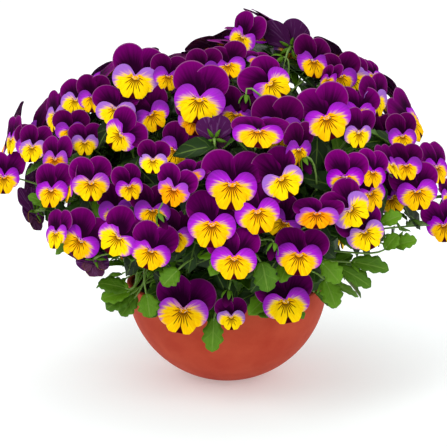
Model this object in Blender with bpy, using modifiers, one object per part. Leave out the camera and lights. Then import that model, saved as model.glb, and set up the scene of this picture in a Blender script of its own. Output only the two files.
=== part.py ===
"""Potted pansy: a hemispherical clay bowl of soil with leafy shoots and a mound of violet and yellow blooms.

Metres, +Z up, origin at the centre of the bowl's foot. The front is towards -Y.
"""

import math
from dataclasses import dataclass

import bmesh
import bpy
import numpy as np
from mathutils.bvhtree import BVHTree

MM = 0.001

# Bowl and soil
BOWL_RADIUS = 80 * MM
FOOT_RADIUS = 20 * MM
BOWL_WALL = 4.5 * MM
LIP_ROUND = 1.2 * MM
RIM_HEIGHT = math.sqrt(BOWL_RADIUS**2 - FOOT_RADIUS**2)
CLEARANCE = 0.3 * MM
SOIL_BELOW_RIM = 9 * MM
SOIL_CROWN = 9 * MM
BOWL_STEPS = 20

# Mound: an ellipsoid of blooms above, cut by a 45 degree cone beneath
MOUND_CENTRE = 140 * MM
MOUND_RADIUS = 170 * MM
MOUND_RISE = 142 * MM
UNDERSIDE_OFFSET = 34 * MM

# Front view that the hand-placed blooms and leaves are read in
VIEW_DISTANCE = 1.4
VIEW_ELEVATION = math.radians(13.5)
VIEW_SIDE = -2.8 * MM
RIM_CENTRE_ABOVE = 45.4 * MM
PIXEL = 0.8 * MM
MIDDLE_PIXEL = 223.5

# Blooms. Widths are across the side petals, and the two limits are in pixels of the front view.
FULL_WIDTH = 40 * MM
PETAL_THICK = 0.8 * MM
CALYX_BEHIND = 1.4 * MM
CALYX_ABOVE = 1.2 * MM
UPPER_STEP = 0.62 * MM
SIDE_LIFT = 0.55 * MM
SIDE_STEP = 0.15 * MM
LIP_LIFT = 1.1 * MM
LEAN_LIP_LIFT = 0.7 * MM
FIVE_BLADES_FROM = 54
THREE_BLADES_FROM = 46
MOST_IN_CLUSTER = 7
SHIFTS = sorted(np.arange(-26, 25) * MM, key=abs)
EDGE_REACH = 2.5 * MM
ALONE_COST = 40 * MM
BACK_SPIRAL = 36
BACK_STARTS = -0.2
BUNCH = ((0, 0), (0.2, 0.09), (-0.06, 0.21))
BACK_WIDTH = 42 * MM
GAP_STEP = 12
GAP_ROWS = (66, 236)
GAP_COLUMNS = (44, 412)
GAP_BELOW_SKYLINE = 12
GAP_SPREAD = 4
GAP_THROAT_BELOW = 13
GAP_DEPTH = 24 * MM
GAP_WIDTH = 36
GAP_MOST = 16

# Green parts
SHOOTS = 16
CROWN_RADIUS = 46 * MM
STEM_RADIUS = 2.0 * MM
STEM_IN_SOIL = 16 * MM
STEM_REACHES = np.arange(105, 50, -6) * MM
HOLE_LENGTH = 45 * MM
STALK_RADIUS = 0.8 * MM
STALK_FOOT_RADIUS = 0.5 * MM
CALYX_RADIUS = 1.7 * MM
PETIOLE_RADIUS = 0.9 * MM
PETIOLE_IN_LEAF = 3 * MM
LEAF_LENGTH = 36 * MM
LEAF_WIDTH = 18 * MM
LEAVES_PER_SHOOT = 2
LEAF_TRIES = 8
STALK_TRIES = 90
BUD_LENGTH = 13 * MM
BUD_RADII = np.array([1.3, 3.5, 3.1, 0.7]) * MM
BUD_IN_STALK = 1 * MM
GOLDEN_ANGLE = math.pi * (3 - math.sqrt(5))

# Each bloom of the front: column and row of its throat, width across the side petals in
# pixels, then yaw, pitch and roll in degrees. Those behind come before those in front.
FRONT_BLOOMS = (
    (70, 131, 32, -10, 0, 0),
    (30, 146, 32, -25, 0, 10),
    (340, 77, 38, 10, 0, 0),
    (345, 178, 40, 5, 0, 0),
    (372, 173, 34, 30, 0, 10),
    (406, 166, 34, 15, 0, 0),
    (292, 48, 46, 150, 15, 0),
    (313, 62, 40, 32, 5, 8),
    (203, 70, 34, -10, 10, 0),
    (228, 66, 38, -10, 20, -15),
    (243, 38, 38, -40, 8, 25),
    (258, 60, 24, 10, 50, 0),
    (168, 77, 34, 10, 5, 10),
    (350, 80, 46, 15, 30, -20),
    (329, 80, 26, -50, 20, 0),
    (373, 76, 26, 45, 20, 0),
    (93, 98, 34, -20, 0, 0),
    (135, 79, 50, 0, 5, 8),
    (279, 130, 50, 0, 0, 0),
    (271, 85, 46, 10, 18, -42),
    (375, 100, 38, 48, -5, 0),
    (76, 101, 36, -30, 15, 0),
    (195, 120, 36, -5, -8, 0),
    (199, 101, 55, 0, 0, 8),
    (116, 110, 42, -5, 22, 0),
    (358, 112, 40, 18, 0, 0),
    (56, 116, 40, -62, 0, 0),
    (402, 137, 34, 25, 0, 0),
    (327, 119, 50, 0, 0, -17),
    (215, 140, 36, 168, 10, 0),
    (358, 133, 36, 38, -15, 0),
    (121, 135, 40, -32, -12, 50),
    (258, 134, 54, 0, 48, 0),
    (12, 140, 34, -68, 0, 0),
    (85, 143, 30, -10, 0, 0),
    (33, 148, 36, -38, 5, 0),
    (298, 150, 40, 45, -18, 0),
    (153, 161, 30, -5, 0, 0),
    (56, 160, 38, -48, 0, 0),
    (391, 166, 36, 66, 20, 0),
    (436, 168, 40, 52, 5, 0),
    (5, 178, 38, -35, 0, 0),
    (190, 175, 36, -28, 38, 0),
    (91, 184, 40, 0, 0, 0),
    (129, 187, 32, 22, 0, -12),
    (70, 188, 38, -82, 0, 0),
    (52, 191, 40, -34, 0, 0),
    (282, 180, 46, 5, 0, -28),
    (174, 190, 38, -25, -10, 20),
    (370, 194, 42, 42, 0, -20),
    (232, 186, 56, 0, 0, 3),
    (417, 192, 44, 12, 0, -8),
    (448, 197, 30, 60, 0, 0),
    (34, 214, 40, -125, -28, 0),
    (351, 210, 44, 18, 0, -50),
    (258, 213, 49, 0, 0, -10),
    (317, 216, 46, -5, 40, 0),
    (443, 226, 40, 28, 0, 0),
    (212, 226, 52, -4, 4, 4),
    (365, 233, 42, 15, 0, -25),
    (57, 234, 36, -52, 0, 0),
    (93, 262, 40, -150, -38, 0),
    (118, 238, 44, 0, 5, 40),
    (80, 241, 44, -8, 0, 32),
    (151, 252, 44, 0, 0, 18),
    (299, 257, 50, 0, 20, 5),
    (234, 260, 50, 0, 6, 0),
    (286, 303, 50, 0, 0, -8),
    (231, 318, 30, 10, 0, 0),
    (183, 312, 54, 0, 0, 10),
)

# How much deeper in the mound a bloom starts that others hide in part, by its throat's pixel.
SUNK = {(195, 120): 22 * MM}

# Each leaf of the front: pixels of its base and its tip, and its width in pixels.
FRONT_LEAVES = (
    ((128, 290), (98, 283), 16),
    ((130, 292), (101, 299), 16),
    ((132, 294), (106, 309), 18),
    ((136, 296), (121, 316), 16),
    ((146, 294), (150, 318), 18),
    ((178, 270), (163, 286), 18),
    ((214, 318), (212, 352), 18),
    ((262, 262), (268, 292), 20),
    ((200, 174), (203, 149), 12),
    ((322, 262), (340, 283), 18),
    ((326, 280), (336, 308), 18),
    ((340, 268), (371, 287), 16),
    ((352, 262), (389, 270), 16),
    ((386, 250), (398, 234), 14),
    ((396, 246), (417, 240), 14),
    ((382, 224), (402, 215), 14),
    ((50, 205), (28, 196), 12),
    ((226, 84), (215, 92), 12),
)

# Each bud: the pixel of its base, and how far its tip points right of and below it.
BUDS = (
    ((246, 95), (-2, 14)),
    ((283, 57), (-10, 4)),
    ((229, 290), (-3, 14)),
    ((274, 243), (-3, 12)),
    ((303, 158), (5, 11)),
    ((158, 214), (6, 10)),
)

# The outline of the mound against the background, as pixels from left to right.
SKYLINE = (
    (-20, 185), (0, 150), (30, 110), (70, 90), (90, 66), (130, 50), (190, 52), (215, 40), (235, 12),
    (260, 12), (275, 32), (310, 34), (360, 62), (395, 100), (412, 138), (447, 155), (470, 190),
)

# The lowest that blooms of the far side hang in that view, in the same way.
UNDERSIDE = (
    (-20, 195), (30, 225), (70, 270), (130, 300), (310, 300), (360, 250), (400, 225), (470, 215),
)


@dataclass
class Bloom:
    """One bloom: where its throat is, its axes (right, up, facing as columns) and its size.

    Small blooms and hidden ones have fewer blades: five, three or two.
    """

    throat: np.ndarray
    axes: np.ndarray
    size: float
    blades: int
    cluster: int = -1


@dataclass
class Shoot:
    """One leafy shoot: the points of its stem and all that grew from it, as closed pieces."""

    name: str
    stem: np.ndarray
    pieces: list


class Room:
    """The space taken so far, kept as surface trees, each with the group that it belongs to."""

    def __init__(self):
        self.taken = []

    def add(self, group, verts, faces):
        centre = verts.mean(axis=0)
        reach = np.linalg.norm(verts - centre, axis=1).max()
        self.taken.append((group, centre, reach, tree_of(verts, faces)))

    def touched(self, verts, faces, skip=()):
        """The groups that this piece would cross, apart from those to skip."""
        centre = verts.mean(axis=0)
        reach = np.linalg.norm(verts - centre, axis=1).max()
        tree = tree_of(verts, faces)
        return {
            group
            for group, middle, far, other in self.taken
            if group not in skip and np.linalg.norm(middle - centre) < far + reach and tree.overlap(other)
        }

    def blocks(self, column, row):
        """Whether a line of sight of the front view meets a piece in the nearer half of the mound."""
        ray = sight(column, row)
        for _, centre, reach, tree in self.taken:
            if np.linalg.norm(np.cross(centre - EYE, ray)) < reach:
                if tree.ray_cast(EYE.tolist(), ray.tolist(), VIEW_DISTANCE)[0]:
                    return True
        return False


def tree_of(verts, faces):
    return BVHTree.FromPolygons(verts.tolist(), faces)


def unit(vector):
    vector = np.asarray(vector, float)
    return vector / np.linalg.norm(vector)


def turned(vector, axis, angle):
    """The vector turned about a unit axis."""
    return (
        vector * math.cos(angle)
        + np.cross(axis, vector) * math.sin(angle)
        + axis * axis.dot(vector) * (1 - math.cos(angle))
    )


# The front view

FORWARD = np.array([0, math.cos(VIEW_ELEVATION), -math.sin(VIEW_ELEVATION)])
UPWARD = np.array([0, math.sin(VIEW_ELEVATION), math.cos(VIEW_ELEVATION)])
RIGHT = np.array([1.0, 0, 0])
EYE = (
    np.array([VIEW_SIDE, 0, RIM_HEIGHT]) - FORWARD * VIEW_DISTANCE + UPWARD * RIM_CENTRE_ABOVE
)


def sight(column, row):
    """The unit vector from the eye through a pixel."""
    across = (column - MIDDLE_PIXEL) * PIXEL
    up = (MIDDLE_PIXEL - row) * PIXEL
    return unit(FORWARD * VIEW_DISTANCE + RIGHT * across + UPWARD * up)


def skyline(column):
    """The row of the mound's outline in this column."""
    columns, rows = np.transpose(SKYLINE)
    return np.interp(column, columns, rows)


def behind_skyline(points):
    """Whether the front view sees all these points between the mound's outline and its underside."""
    away = points - EYE
    scale = VIEW_DISTANCE / PIXEL / (away @ FORWARD)
    columns = MIDDLE_PIXEL + (away @ RIGHT) * scale
    rows = MIDDLE_PIXEL - (away @ UPWARD) * scale
    lowest = np.interp(columns, *np.transpose(UNDERSIDE))
    return (rows > skyline(columns)).all() and (rows < lowest).all()


def mound_depth(points):
    """Below 1 inside the mound, above 1 outside it."""
    radius = np.hypot(points[..., 0], points[..., 1])
    rise = (points[..., 2] - MOUND_CENTRE) / MOUND_RISE
    above = np.hypot(radius / MOUND_RADIUS, rise)
    beneath = radius / np.maximum(UNDERSIDE_OFFSET + points[..., 2], MM)
    return np.maximum(above, beneath)


def on_mound(column, row):
    """Where the line of sight first meets the mound, or else where it passes nearest."""
    distances = np.arange(VIEW_DISTANCE - 0.26, VIEW_DISTANCE + 0.02, MM)
    points = EYE + sight(column, row) * distances[:, None]
    depth = mound_depth(points)
    inside = np.flatnonzero(depth < 1)
    return points[inside[0] if len(inside) else depth.argmin()]


# Closed pieces, each as points and faces

def slab(outline, lift, slope_x, slope_y, thick=PETAL_THICK):
    """A flat blade with this outline, in the plane z = lift + slope_x x + slope_y y."""
    outline = np.array(outline, float)
    z = lift + slope_x * outline[:, 0] + slope_y * outline[:, 1]
    under = np.column_stack([outline, z - thick / 2])
    over = np.column_stack([outline, z + thick / 2])
    n = len(outline)
    faces = [list(range(n))[::-1], list(range(n, 2 * n))]
    faces += [[i, (i + 1) % n, n + (i + 1) % n, n + i] for i in range(n)]
    return np.vstack([under, over]), faces


def tube(points, radii, sides, leave=None):
    """A tapering tube along the points, closed at both ends, its first ring square to leave."""
    points = np.asarray(points, float)
    along = np.gradient(points, axis=0)
    along /= np.linalg.norm(along, axis=1)[:, None]
    if leave is not None:
        along[0] = leave
    across = unit(np.cross(along[0], [0.36, 0.48, 0.8]))
    angles = np.arange(sides) * 2 * math.pi / sides
    rings = []
    for point, radius, ahead in zip(points, radii, along):
        across = unit(across - ahead * across.dot(ahead))
        third = np.cross(ahead, across)
        rings.append(point + radius * (np.outer(np.cos(angles), across) + np.outer(np.sin(angles), third)))
    faces = [list(range(sides))[::-1]]
    for ring in range(len(points) - 1):
        for j in range(sides):
            a, b = ring * sides + j, ring * sides + (j + 1) % sides
            faces += [[a, b, b + sides], [a, b + sides, a + sides]]
    last = (len(points) - 1) * sides
    faces.append(list(range(last, last + sides)))
    return np.vstack(rings), faces


def arc(centre, radii, start, end, count):
    """Points of an ellipse's arc, angles in degrees."""
    angles = np.radians(np.linspace(start, end, count))
    return [
        (centre[0] + radii[0] * math.cos(a), centre[1] + radii[1] * math.sin(a)) for a in angles
    ]


def mirrored(outline):
    return [(-x, y) for x, y in reversed(outline)]


def curve(start, leave, arrive, end, count):
    """Points of a cubic Bezier curve."""
    t = np.linspace(0, 1, count)[:, None]
    return (
        start * (1 - t) ** 3
        + leave * 3 * t * (1 - t) ** 2
        + arrive * 3 * t**2 * (1 - t)
        + end * t**3
    )


# Blooms

# Outlines in millimetres on a bloom 40 mm wide, +y up and the throat near the origin
UPPER_PETAL = [(-1, -3), (2.6, -2.2)] + arc((8.4, 14.2), (12.4, 13.4), -30, 190, 5)
SIDE_PETAL = [(-1.7, -2.1)] + arc((11.6, 1.2), (8.8, 9.6), -78, 98, 4) + [(-1.4, 2.3)]
LIP = [(0, 4), (-13.5, -8), (-8, -20.5), (8, -20.5), (13.5, -8)]
TWO_UPPERS = [(0, -3), (17, 6.5), (19.5, 19), (9, 28), (0, 22.5), (-9, 28), (-19.5, 19), (-17, 6.5)]
BOTH_SIDES = [(-8, -8), (8, -8), (20, -1), (13, 11), (0, 2.6), (-13, 11), (-20, -1)]
FOUR_PETALS = [(9, -8), (20, -1), (14, 8), (19.5, 18), (9, 28)]
FOUR_PETALS += mirrored(FOUR_PETALS)

PURPLE, VIOLET, YELLOW = range(3)
UPPER_BACK = -0.22
SIDE_FORWARD = 0.07
LIP_FORWARD = -0.16
LEAN_BACK = -0.1
LEAN_FORWARD = -0.25


def petals(bloom):
    """The blades of a bloom as (points, faces, colour), in the bloom's own axes."""
    if bloom.blades == 5:
        blades = [
            (mirrored(UPPER_PETAL), 0, 0, UPPER_BACK, PURPLE),
            (UPPER_PETAL, -UPPER_STEP, 0, UPPER_BACK, PURPLE),
            (SIDE_PETAL, SIDE_LIFT, SIDE_FORWARD, 0, VIOLET),
            (mirrored(SIDE_PETAL), SIDE_LIFT + SIDE_STEP, -SIDE_FORWARD, 0, VIOLET),
            (LIP, LIP_LIFT, 0, LIP_FORWARD, YELLOW),
        ]
    elif bloom.blades == 3:
        blades = [
            (TWO_UPPERS, 0, 0, UPPER_BACK, PURPLE),
            (BOTH_SIDES, SIDE_LIFT, 0, 0, VIOLET),
            (LIP, LIP_LIFT, 0, LIP_FORWARD, YELLOW),
        ]
    else:
        blades = [
            (FOUR_PETALS, 0, 0, LEAN_BACK, PURPLE),
            (LIP, LEAN_LIP_LIFT, 0, LEAN_FORWARD, YELLOW),
        ]
    return [
        (*slab(np.array(outline) * MM * bloom.size, lift, slope_x, slope_y), colour)
        for outline, lift, slope_x, slope_y, colour in blades
    ]


def placed(bloom, verts):
    return bloom.throat + verts @ bloom.axes.T


def solid_bloom(bloom):
    """The bloom in its place as one list of points and faces."""
    verts, faces = joined([(points, polygons) for points, polygons, _ in petals(bloom)])
    return placed(bloom, verts), faces


def joined(pieces):
    """Several pieces as one list of points and faces."""
    verts, faces, start = [], [], 0
    for points, polygons in pieces:
        verts.append(points)
        faces += [[start + i for i in polygon] for polygon in polygons]
        start += len(points)
    return np.vstack(verts), faces


def facing_axes(facing, up, roll):
    up = unit(up - facing * facing.dot(up))
    up = turned(up, facing, -math.radians(roll))
    return np.column_stack([np.cross(up, facing), up, facing])


def front_blooms():
    """The hand-placed blooms with the direction in which each may slide, which keeps it in view."""
    for column, row, width, yaw, pitch, roll in FRONT_BLOOMS:
        ray = sight(column, row)
        point = on_mound(column, row) + ray * SUNK.get((column, row), 0)
        side = unit(np.cross(ray, UPWARD))
        up = np.cross(side, ray)
        yaw, pitch = math.radians(yaw), math.radians(pitch)
        facing = math.cos(pitch) * (side * math.sin(yaw) - ray * math.cos(yaw)) + up * math.sin(pitch)
        size = width * PIXEL * np.linalg.norm(point - EYE) / VIEW_DISTANCE / FULL_WIDTH
        blades = 5 if width >= FIVE_BLADES_FROM else 3 if width >= THREE_BLADES_FROM else 2
        yield Bloom(point, facing_axes(unit(facing), up, roll), size, blades), ray


def back_blooms():
    """Bunches of blooms on the far side, along a golden spiral over the mound.

    Each is as far out as the mound reaches without showing above the outline of the front view.
    """
    random = np.random.default_rng(7)
    centre = np.array([0, 0, MOUND_CENTRE])
    reach = np.arange(190, 20, -2) * MM
    for k in range(BACK_SPIRAL):
        sine = 0.97 - 1.4 * (k + 0.5) / BACK_SPIRAL
        azimuth = k * GOLDEN_ANGLE
        across = np.array([-math.sin(azimuth), math.cos(azimuth), 0])
        middle = np.array([math.cos(azimuth), math.sin(azimuth), 0]) * math.sqrt(1 - sine**2)
        middle[2] = sine
        if middle[1] < BACK_STARTS:
            continue
        for aside, above in BUNCH:
            lean, tip, roll, size = random.uniform(-1, 1, 4)
            away = unit(middle + across * aside + np.cross(middle, across) * above)
            facing = unit(away * [1, 1, 0.6] + across * 0.25 * lean + [0, 0, 0.15 + 0.2 * tip])
            axes = facing_axes(facing, np.array([0, 0, 1.0]) - 0.2 * away, 22 * roll)
            width = BACK_WIDTH + 4 * MM * size
            points = centre + away * reach[:, None]
            for point in points[mound_depth(points) < 1]:
                bloom = Bloom(point, axes, width / FULL_WIDTH, 2)
                if behind_skyline(solid_bloom(bloom)[0]):
                    yield bloom, -away
                    break


def settle_one(bloom, slide, number, shifts, room, clusters):
    """Slides a bloom along a line until it just meets one cluster, or else stands clear.

    A number of None keeps it from standing alone, and then it may find no place at all.
    """
    verts, faces = solid_bloom(bloom)
    met = {shift: room.touched(verts + slide * shift, faces) for shift in shifts}
    choices = []
    for place, shift in enumerate(shifts):
        if not met[shift] and number is not None:
            choices.append((abs(shift) + ALONE_COST, place, shift, number))
        elif len(met[shift]) == 1:
            cluster = next(iter(met[shift]))
            edge = any(not met[near] for near in shifts if abs(near - shift) < EDGE_REACH)
            if edge and len(clusters[cluster]) < MOST_IN_CLUSTER:
                choices.append((abs(shift), place, shift, cluster))
    if choices:
        _, _, shift, bloom.cluster = min(choices)
        bloom.throat = bloom.throat + slide * shift
        clusters.setdefault(bloom.cluster, []).append(bloom)
        room.add(bloom.cluster, verts + slide * shift, faces)
    return bool(choices)


def settle(blooms_and_slides, room, clusters):
    """Settles all these blooms, and those that stand alone again once all are there."""
    for turn in range(3):
        for number, (bloom, slide) in enumerate(blooms_and_slides):
            if turn and len(clusters[bloom.cluster]) > 1:
                continue
            if turn:
                room.taken = [entry for entry in room.taken if entry[0] != bloom.cluster]
                del clusters[bloom.cluster]
            settle_one(bloom, slide, number, SHIFTS, room, clusters)


def fill_gaps(room, clusters):
    """Sets small blooms deeper in the mound where the front view would see between the others."""
    random = np.random.default_rng(19)
    shifts = [shift for shift in SHIFTS if shift > -8 * MM]
    corners = ((0, 0), (-1, -1), (1, -1), (-1, 1), (1, 1))
    added = 0
    for row in range(*GAP_ROWS, GAP_STEP):
        for column in range(*GAP_COLUMNS, GAP_STEP):
            places = [(column + GAP_SPREAD * x, row + GAP_SPREAD * y) for x, y in corners]
            if row < skyline(column) + GAP_BELOW_SKYLINE or any(room.blocks(*p) for p in places):
                continue
            yaw, roll = random.uniform(-0.5, 0.5), random.uniform(-35, 35)
            ray = sight(column, row + GAP_THROAT_BELOW)
            point = on_mound(column, row + GAP_THROAT_BELOW) + ray * GAP_DEPTH
            side = unit(np.cross(ray, UPWARD))
            axes = facing_axes(unit(side * yaw - ray), np.cross(side, ray), roll)
            bloom = Bloom(point, axes, GAP_WIDTH * PIXEL / FULL_WIDTH, 2)
            if added < GAP_MOST and behind_skyline(solid_bloom(bloom)[0]):
                added += settle_one(bloom, ray, None, shifts, room, clusters)


# Shoots

def stem_points(k, reach):
    """The stem of shoot k: straight up out of the soil, then out to its part of the mound."""
    share = math.sqrt((k + 0.5) / SHOOTS)
    azimuth = k * GOLDEN_ANGLE + 0.4
    outward = np.array([math.cos(azimuth), math.sin(azimuth), 0])
    foot = outward * CROWN_RADIUS * share
    foot[2] = soil_top(CROWN_RADIUS * share) - STEM_IN_SOIL
    leave = foot + [0, 0, STEM_IN_SOIL + 5 * MM]
    lean = math.radians(8 + 62 * share)
    tip = leave + (outward * math.sin(lean) + [0, 0, math.cos(lean)]) * reach
    bend = leave + [0, 0, 34 * MM] + outward * 6 * MM
    return np.vstack([foot, curve(leave, leave + [0, 0, 14 * MM], bend, tip, 5)])


def soil_top(radius):
    edge = BOWL_RADIUS - BOWL_WALL
    return RIM_HEIGHT - SOIL_BELOW_RIM + SOIL_CROWN * (1 - (radius / edge) ** 2)


def grown_shoots(room):
    """The shoots' bare stems, each as long as the blooms leave room for."""
    shoots = []
    for k in range(SHOOTS):
        for reach in STEM_REACHES:
            stem = stem_points(k, reach)
            radii = np.linspace(1, 0.6, len(stem)) * STEM_RADIUS
            if not room.touched(*tube(stem, radii + CLEARANCE, 4)):
                break
        shoots.append(Shoot(f"shoot_{k + 1:02d}", stem, [tube(stem, radii, 4)]))
    for shoot in shoots:
        room.add(stem_of(shoot), *shoot.pieces[0])
    return shoots


def bloom_room(clusters):
    """Space taken by the blooms, each in a group of its own."""
    room = Room()
    for bloom in (bloom for cluster in clusters for bloom in cluster):
        room.add(id(bloom), *solid_bloom(bloom))
    return room


def stem_point(shoot, share):
    """A point on the stem's upper part, from 0 at its middle to 1 at its tip."""
    place = (len(shoot.stem) - 1) * (0.45 + 0.55 * share)
    below = min(int(place), len(shoot.stem) - 2)
    return shoot.stem[below] + (shoot.stem[below + 1] - shoot.stem[below]) * (place - below)


def grow_stalk(shoot, start, leave, end_radius, room, own, skip, random):
    """A stalk that leaves the start along a vector and reaches the shoot's stem round all else."""
    for attempt in range(STALK_TRIES):
        foot = stem_point(shoot, random.uniform(0.03, 0.99))
        loose = random.uniform(-1, 1, (2, 3)) * MM * (4 + attempt * 0.7)
        near = start + leave * (14 + attempt * 0.2) * MM + loose[0] * 0.5
        far = foot + (start - foot) * 0.35 + [0, 0, 8 * MM] + loose[1]
        points = curve(start, near, far, foot, 4)
        radii = np.array([end_radius, STALK_RADIUS, STALK_RADIUS, STALK_FOOT_RADIUS])
        verts, faces = tube(points, radii + CLEARANCE, 3, leave)
        if not room.touched(verts, faces, skip) and not own.touched(*tube(points, radii, 3, leave)):
            return tube(points, radii, 3, leave)
    return None


def carry_blooms(shoots, clusters, room):
    """Gives each bloom its stalk from the shoot that points towards it."""
    random = np.random.default_rng(13)
    for bloom in (bloom for cluster in clusters for bloom in cluster):
        behind = CALYX_BEHIND + (UPPER_STEP if bloom.blades == 5 else 0)
        back = bloom.throat + bloom.axes @ np.array([0, CALYX_ABOVE, -behind])
        leave = -bloom.axes[:, 2]
        own = Room()
        own.add(0, *solid_bloom(bloom))
        for shoot in nearest_shoots(shoots, bloom.throat):
            skip = {stem_of(shoot), id(bloom)}
            stalk = grow_stalk(shoot, back, leave, CALYX_RADIUS, room, own, skip, random)
            if stalk:
                shoot.pieces.append(stalk)
                room.add(shoot.name, *stalk)
                break


def nearest_shoots(shoots, point):
    """The shoots in order of how near the upper part of their stem is."""
    return sorted(shoots, key=lambda shoot: np.linalg.norm(shoot.stem[3:] - point, axis=1).min())


def add_buds(shoots, room):
    """Closed buds on stalks of their own, each slid along its line of sight until it is clear."""
    random = np.random.default_rng(13)
    for (column, row), (right, below) in BUDS:
        axis = unit(RIGHT * right - UPWARD * below - FORWARD * 0.3 * abs(below))
        ray = sight(column, row)
        for shift in SHIFTS:
            base = on_mound(column, row) + ray * shift
            points = base + axis * np.array([0, 0.35, 0.75, 1])[:, None] * BUD_LENGTH
            bud = tube(points, BUD_RADII, 5)
            if not room.touched(*tube(points, BUD_RADII + CLEARANCE, 5)):
                break
        for shoot in nearest_shoots(shoots, base):
            start = base + axis * BUD_IN_STALK
            skip = {stem_of(shoot)}
            stalk = grow_stalk(shoot, start, -axis, STALK_RADIUS, room, Room(), skip, random)
            if stalk:
                for piece in (bud, stalk):
                    shoot.pieces.append(piece)
                    room.add(shoot.name, *piece)
                break


def stem_of(shoot):
    """The group of a shoot's stem, which its own stalks and leaves may enter."""
    return shoot.name + "_stem"


def leaf_outline(length, width):
    """A toothed blade that narrows to its base, along +y."""
    side = [(0.1, 0), (0.46, 0.42), (0.38, 0.56), (0.4, 0.76)]
    right = [(x * width, y * length) for x, y in side]
    return right + [(0, length)] + [(-x, y) for x, y in reversed(right)]


def leaf_blade(base, tip, width, normal):
    along = tip - base
    length = np.linalg.norm(along)
    along = along / length
    across = unit(np.cross(along, normal))
    axes = np.column_stack([across, along, np.cross(across, along)])
    verts, faces = slab(leaf_outline(length, width), 0, 0, 0)
    return base + verts @ axes.T, faces


def add_leaf(shoots, base, tip, width, normal, room, random):
    """A leaf on a petiole from the nearest shoot, where there is room for both."""
    blade = leaf_blade(base, tip, width, normal)
    nearest = sorted(shoots, key=lambda s: np.linalg.norm(s.stem[2:] - base, axis=1).min())
    inward = unit(base - tip)
    for shoot in nearest[:3]:
        skip = {stem_of(shoot)}
        if room.touched(*blade, skip):
            continue
        start = base - inward * PETIOLE_IN_LEAF
        petiole = grow_stalk(shoot, start, inward, PETIOLE_RADIUS, room, Room(), skip, random)
        if petiole:
            for piece in (blade, petiole):
                shoot.pieces.append(piece)
                room.add(shoot.name, *piece)
            return


def front_leaves(shoots, room):
    random = np.random.default_rng(5)
    for base, tip, width in FRONT_LEAVES:
        base = on_mound(*base) + FORWARD * 10 * MM
        tip = EYE + sight(*tip) * (np.linalg.norm(base - EYE) - 2 * MM)
        normal = unit(-FORWARD + UPWARD * 0.5)
        add_leaf(shoots, base, tip, width * PIXEL, normal, room, random)


def inner_leaves(shoots, room):
    """Leaves round each stem, turned by the golden angle from one to the next."""
    random = np.random.default_rng(3)
    for k, shoot in enumerate(shoots):
        for j in range(LEAVES_PER_SHOOT):
            node = stem_point(shoot, (j + random.uniform(0.2, 0.8)) / LEAVES_PER_SHOOT - 0.2)
            azimuth = (k * LEAVES_PER_SHOOT + j) * GOLDEN_ANGLE
            for attempt in range(LEAF_TRIES):
                turn = azimuth + attempt * 0.8
                outward = np.array([math.cos(turn), math.sin(turn), 0.5 - 0.1 * attempt])
                start = node + unit(outward) * 0.7 * MM
                tip = start + unit(outward) * LEAF_LENGTH * random.uniform(0.85, 1.25)
                blade = leaf_blade(start, tip, LEAF_WIDTH, [0, 0, 1.0])
                if not room.touched(*blade, {stem_of(shoot)}):
                    shoot.pieces.append(blade)
                    room.add(shoot.name, *blade)
                    break


# Objects

def material(name, colour, roughness):
    made = bpy.data.materials.new(name)
    made.use_nodes = True
    shader = made.node_tree.nodes["Principled BSDF"]
    shader.inputs["Base Color"].default_value = (*colour, 1)
    shader.inputs["Roughness"].default_value = roughness
    made.diffuse_color = (*colour, 1)
    return made


def new_object(name, collection, verts, faces, materials, index=0):
    """A mesh object from one closed piece, all of it in the material with this index."""
    mesh = bpy.data.meshes.new(name)
    mesh.from_pydata([tuple(v) for v in verts], [], faces)
    for item in materials:
        mesh.materials.append(item)
    mesh.polygons.foreach_set("material_index", [index] * len(mesh.polygons))
    made = bpy.data.objects.new(name, mesh)
    collection.objects.link(made)
    return made


def keep_largest_shell(mesh):
    """Drops loose scraps, and the shells of hollows that joining has sealed."""
    work = bmesh.new()
    work.from_mesh(mesh)
    unseen, shells = set(work.verts), []
    while unseen:
        shell, edge = set(), [unseen.pop()]
        while edge:
            vert = edge.pop()
            shell.add(vert)
            near = {link.other_vert(vert) for link in vert.link_edges} & unseen
            unseen -= near
            edge += near
        shells.append(shell)
    shells.sort(key=len)
    bmesh.ops.delete(work, geom=[vert for shell in shells[:-1] for vert in shell], context="VERTS")
    work.to_mesh(mesh)
    work.free()


def fused(name, pieces, materials, collection, loose, solver):
    """One object from (points, faces, material index) pieces, by one Boolean union, applied."""
    first, *others = pieces
    base = new_object(name, collection, first[0], first[1], materials, first[2])
    for verts, faces, index in others:
        new_object(f"{name}_piece", loose, verts, faces, materials, index)
    if others:
        union = base.modifiers.new("Union", "BOOLEAN")
        union.operation = "UNION"
        union.operand_type = "COLLECTION"
        union.collection = loose
        union.solver = solver
        graph = bpy.context.evaluated_depsgraph_get()
        mesh = bpy.data.meshes.new_from_object(base.evaluated_get(graph))
        keep_largest_shell(mesh)
        base.modifiers.clear()
        plain = base.data
        base.data = mesh
        bpy.data.meshes.remove(plain)
        for piece in list(loose.objects):
            mesh = piece.data
            bpy.data.objects.remove(piece)
            bpy.data.meshes.remove(mesh)
    return base


def turned_solid(name, profile, finish, collection):
    """A solid of revolution from a profile that runs down its outer side, both ends on the axis."""
    mesh = bpy.data.meshes.new(name)
    edges = [(i, i + 1) for i in range(len(profile) - 1)]
    mesh.from_pydata([(x, 0, z) for x, z in profile], edges, [])
    mesh.materials.append(finish)
    made = bpy.data.objects.new(name, mesh)
    collection.objects.link(made)
    screw = made.modifiers.new("Turn", "SCREW")
    screw.steps = screw.render_steps = BOWL_STEPS
    screw.use_merge_vertices = True
    screw.merge_threshold = 0.00001
    screw.use_smooth_shade = True
    return made


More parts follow.
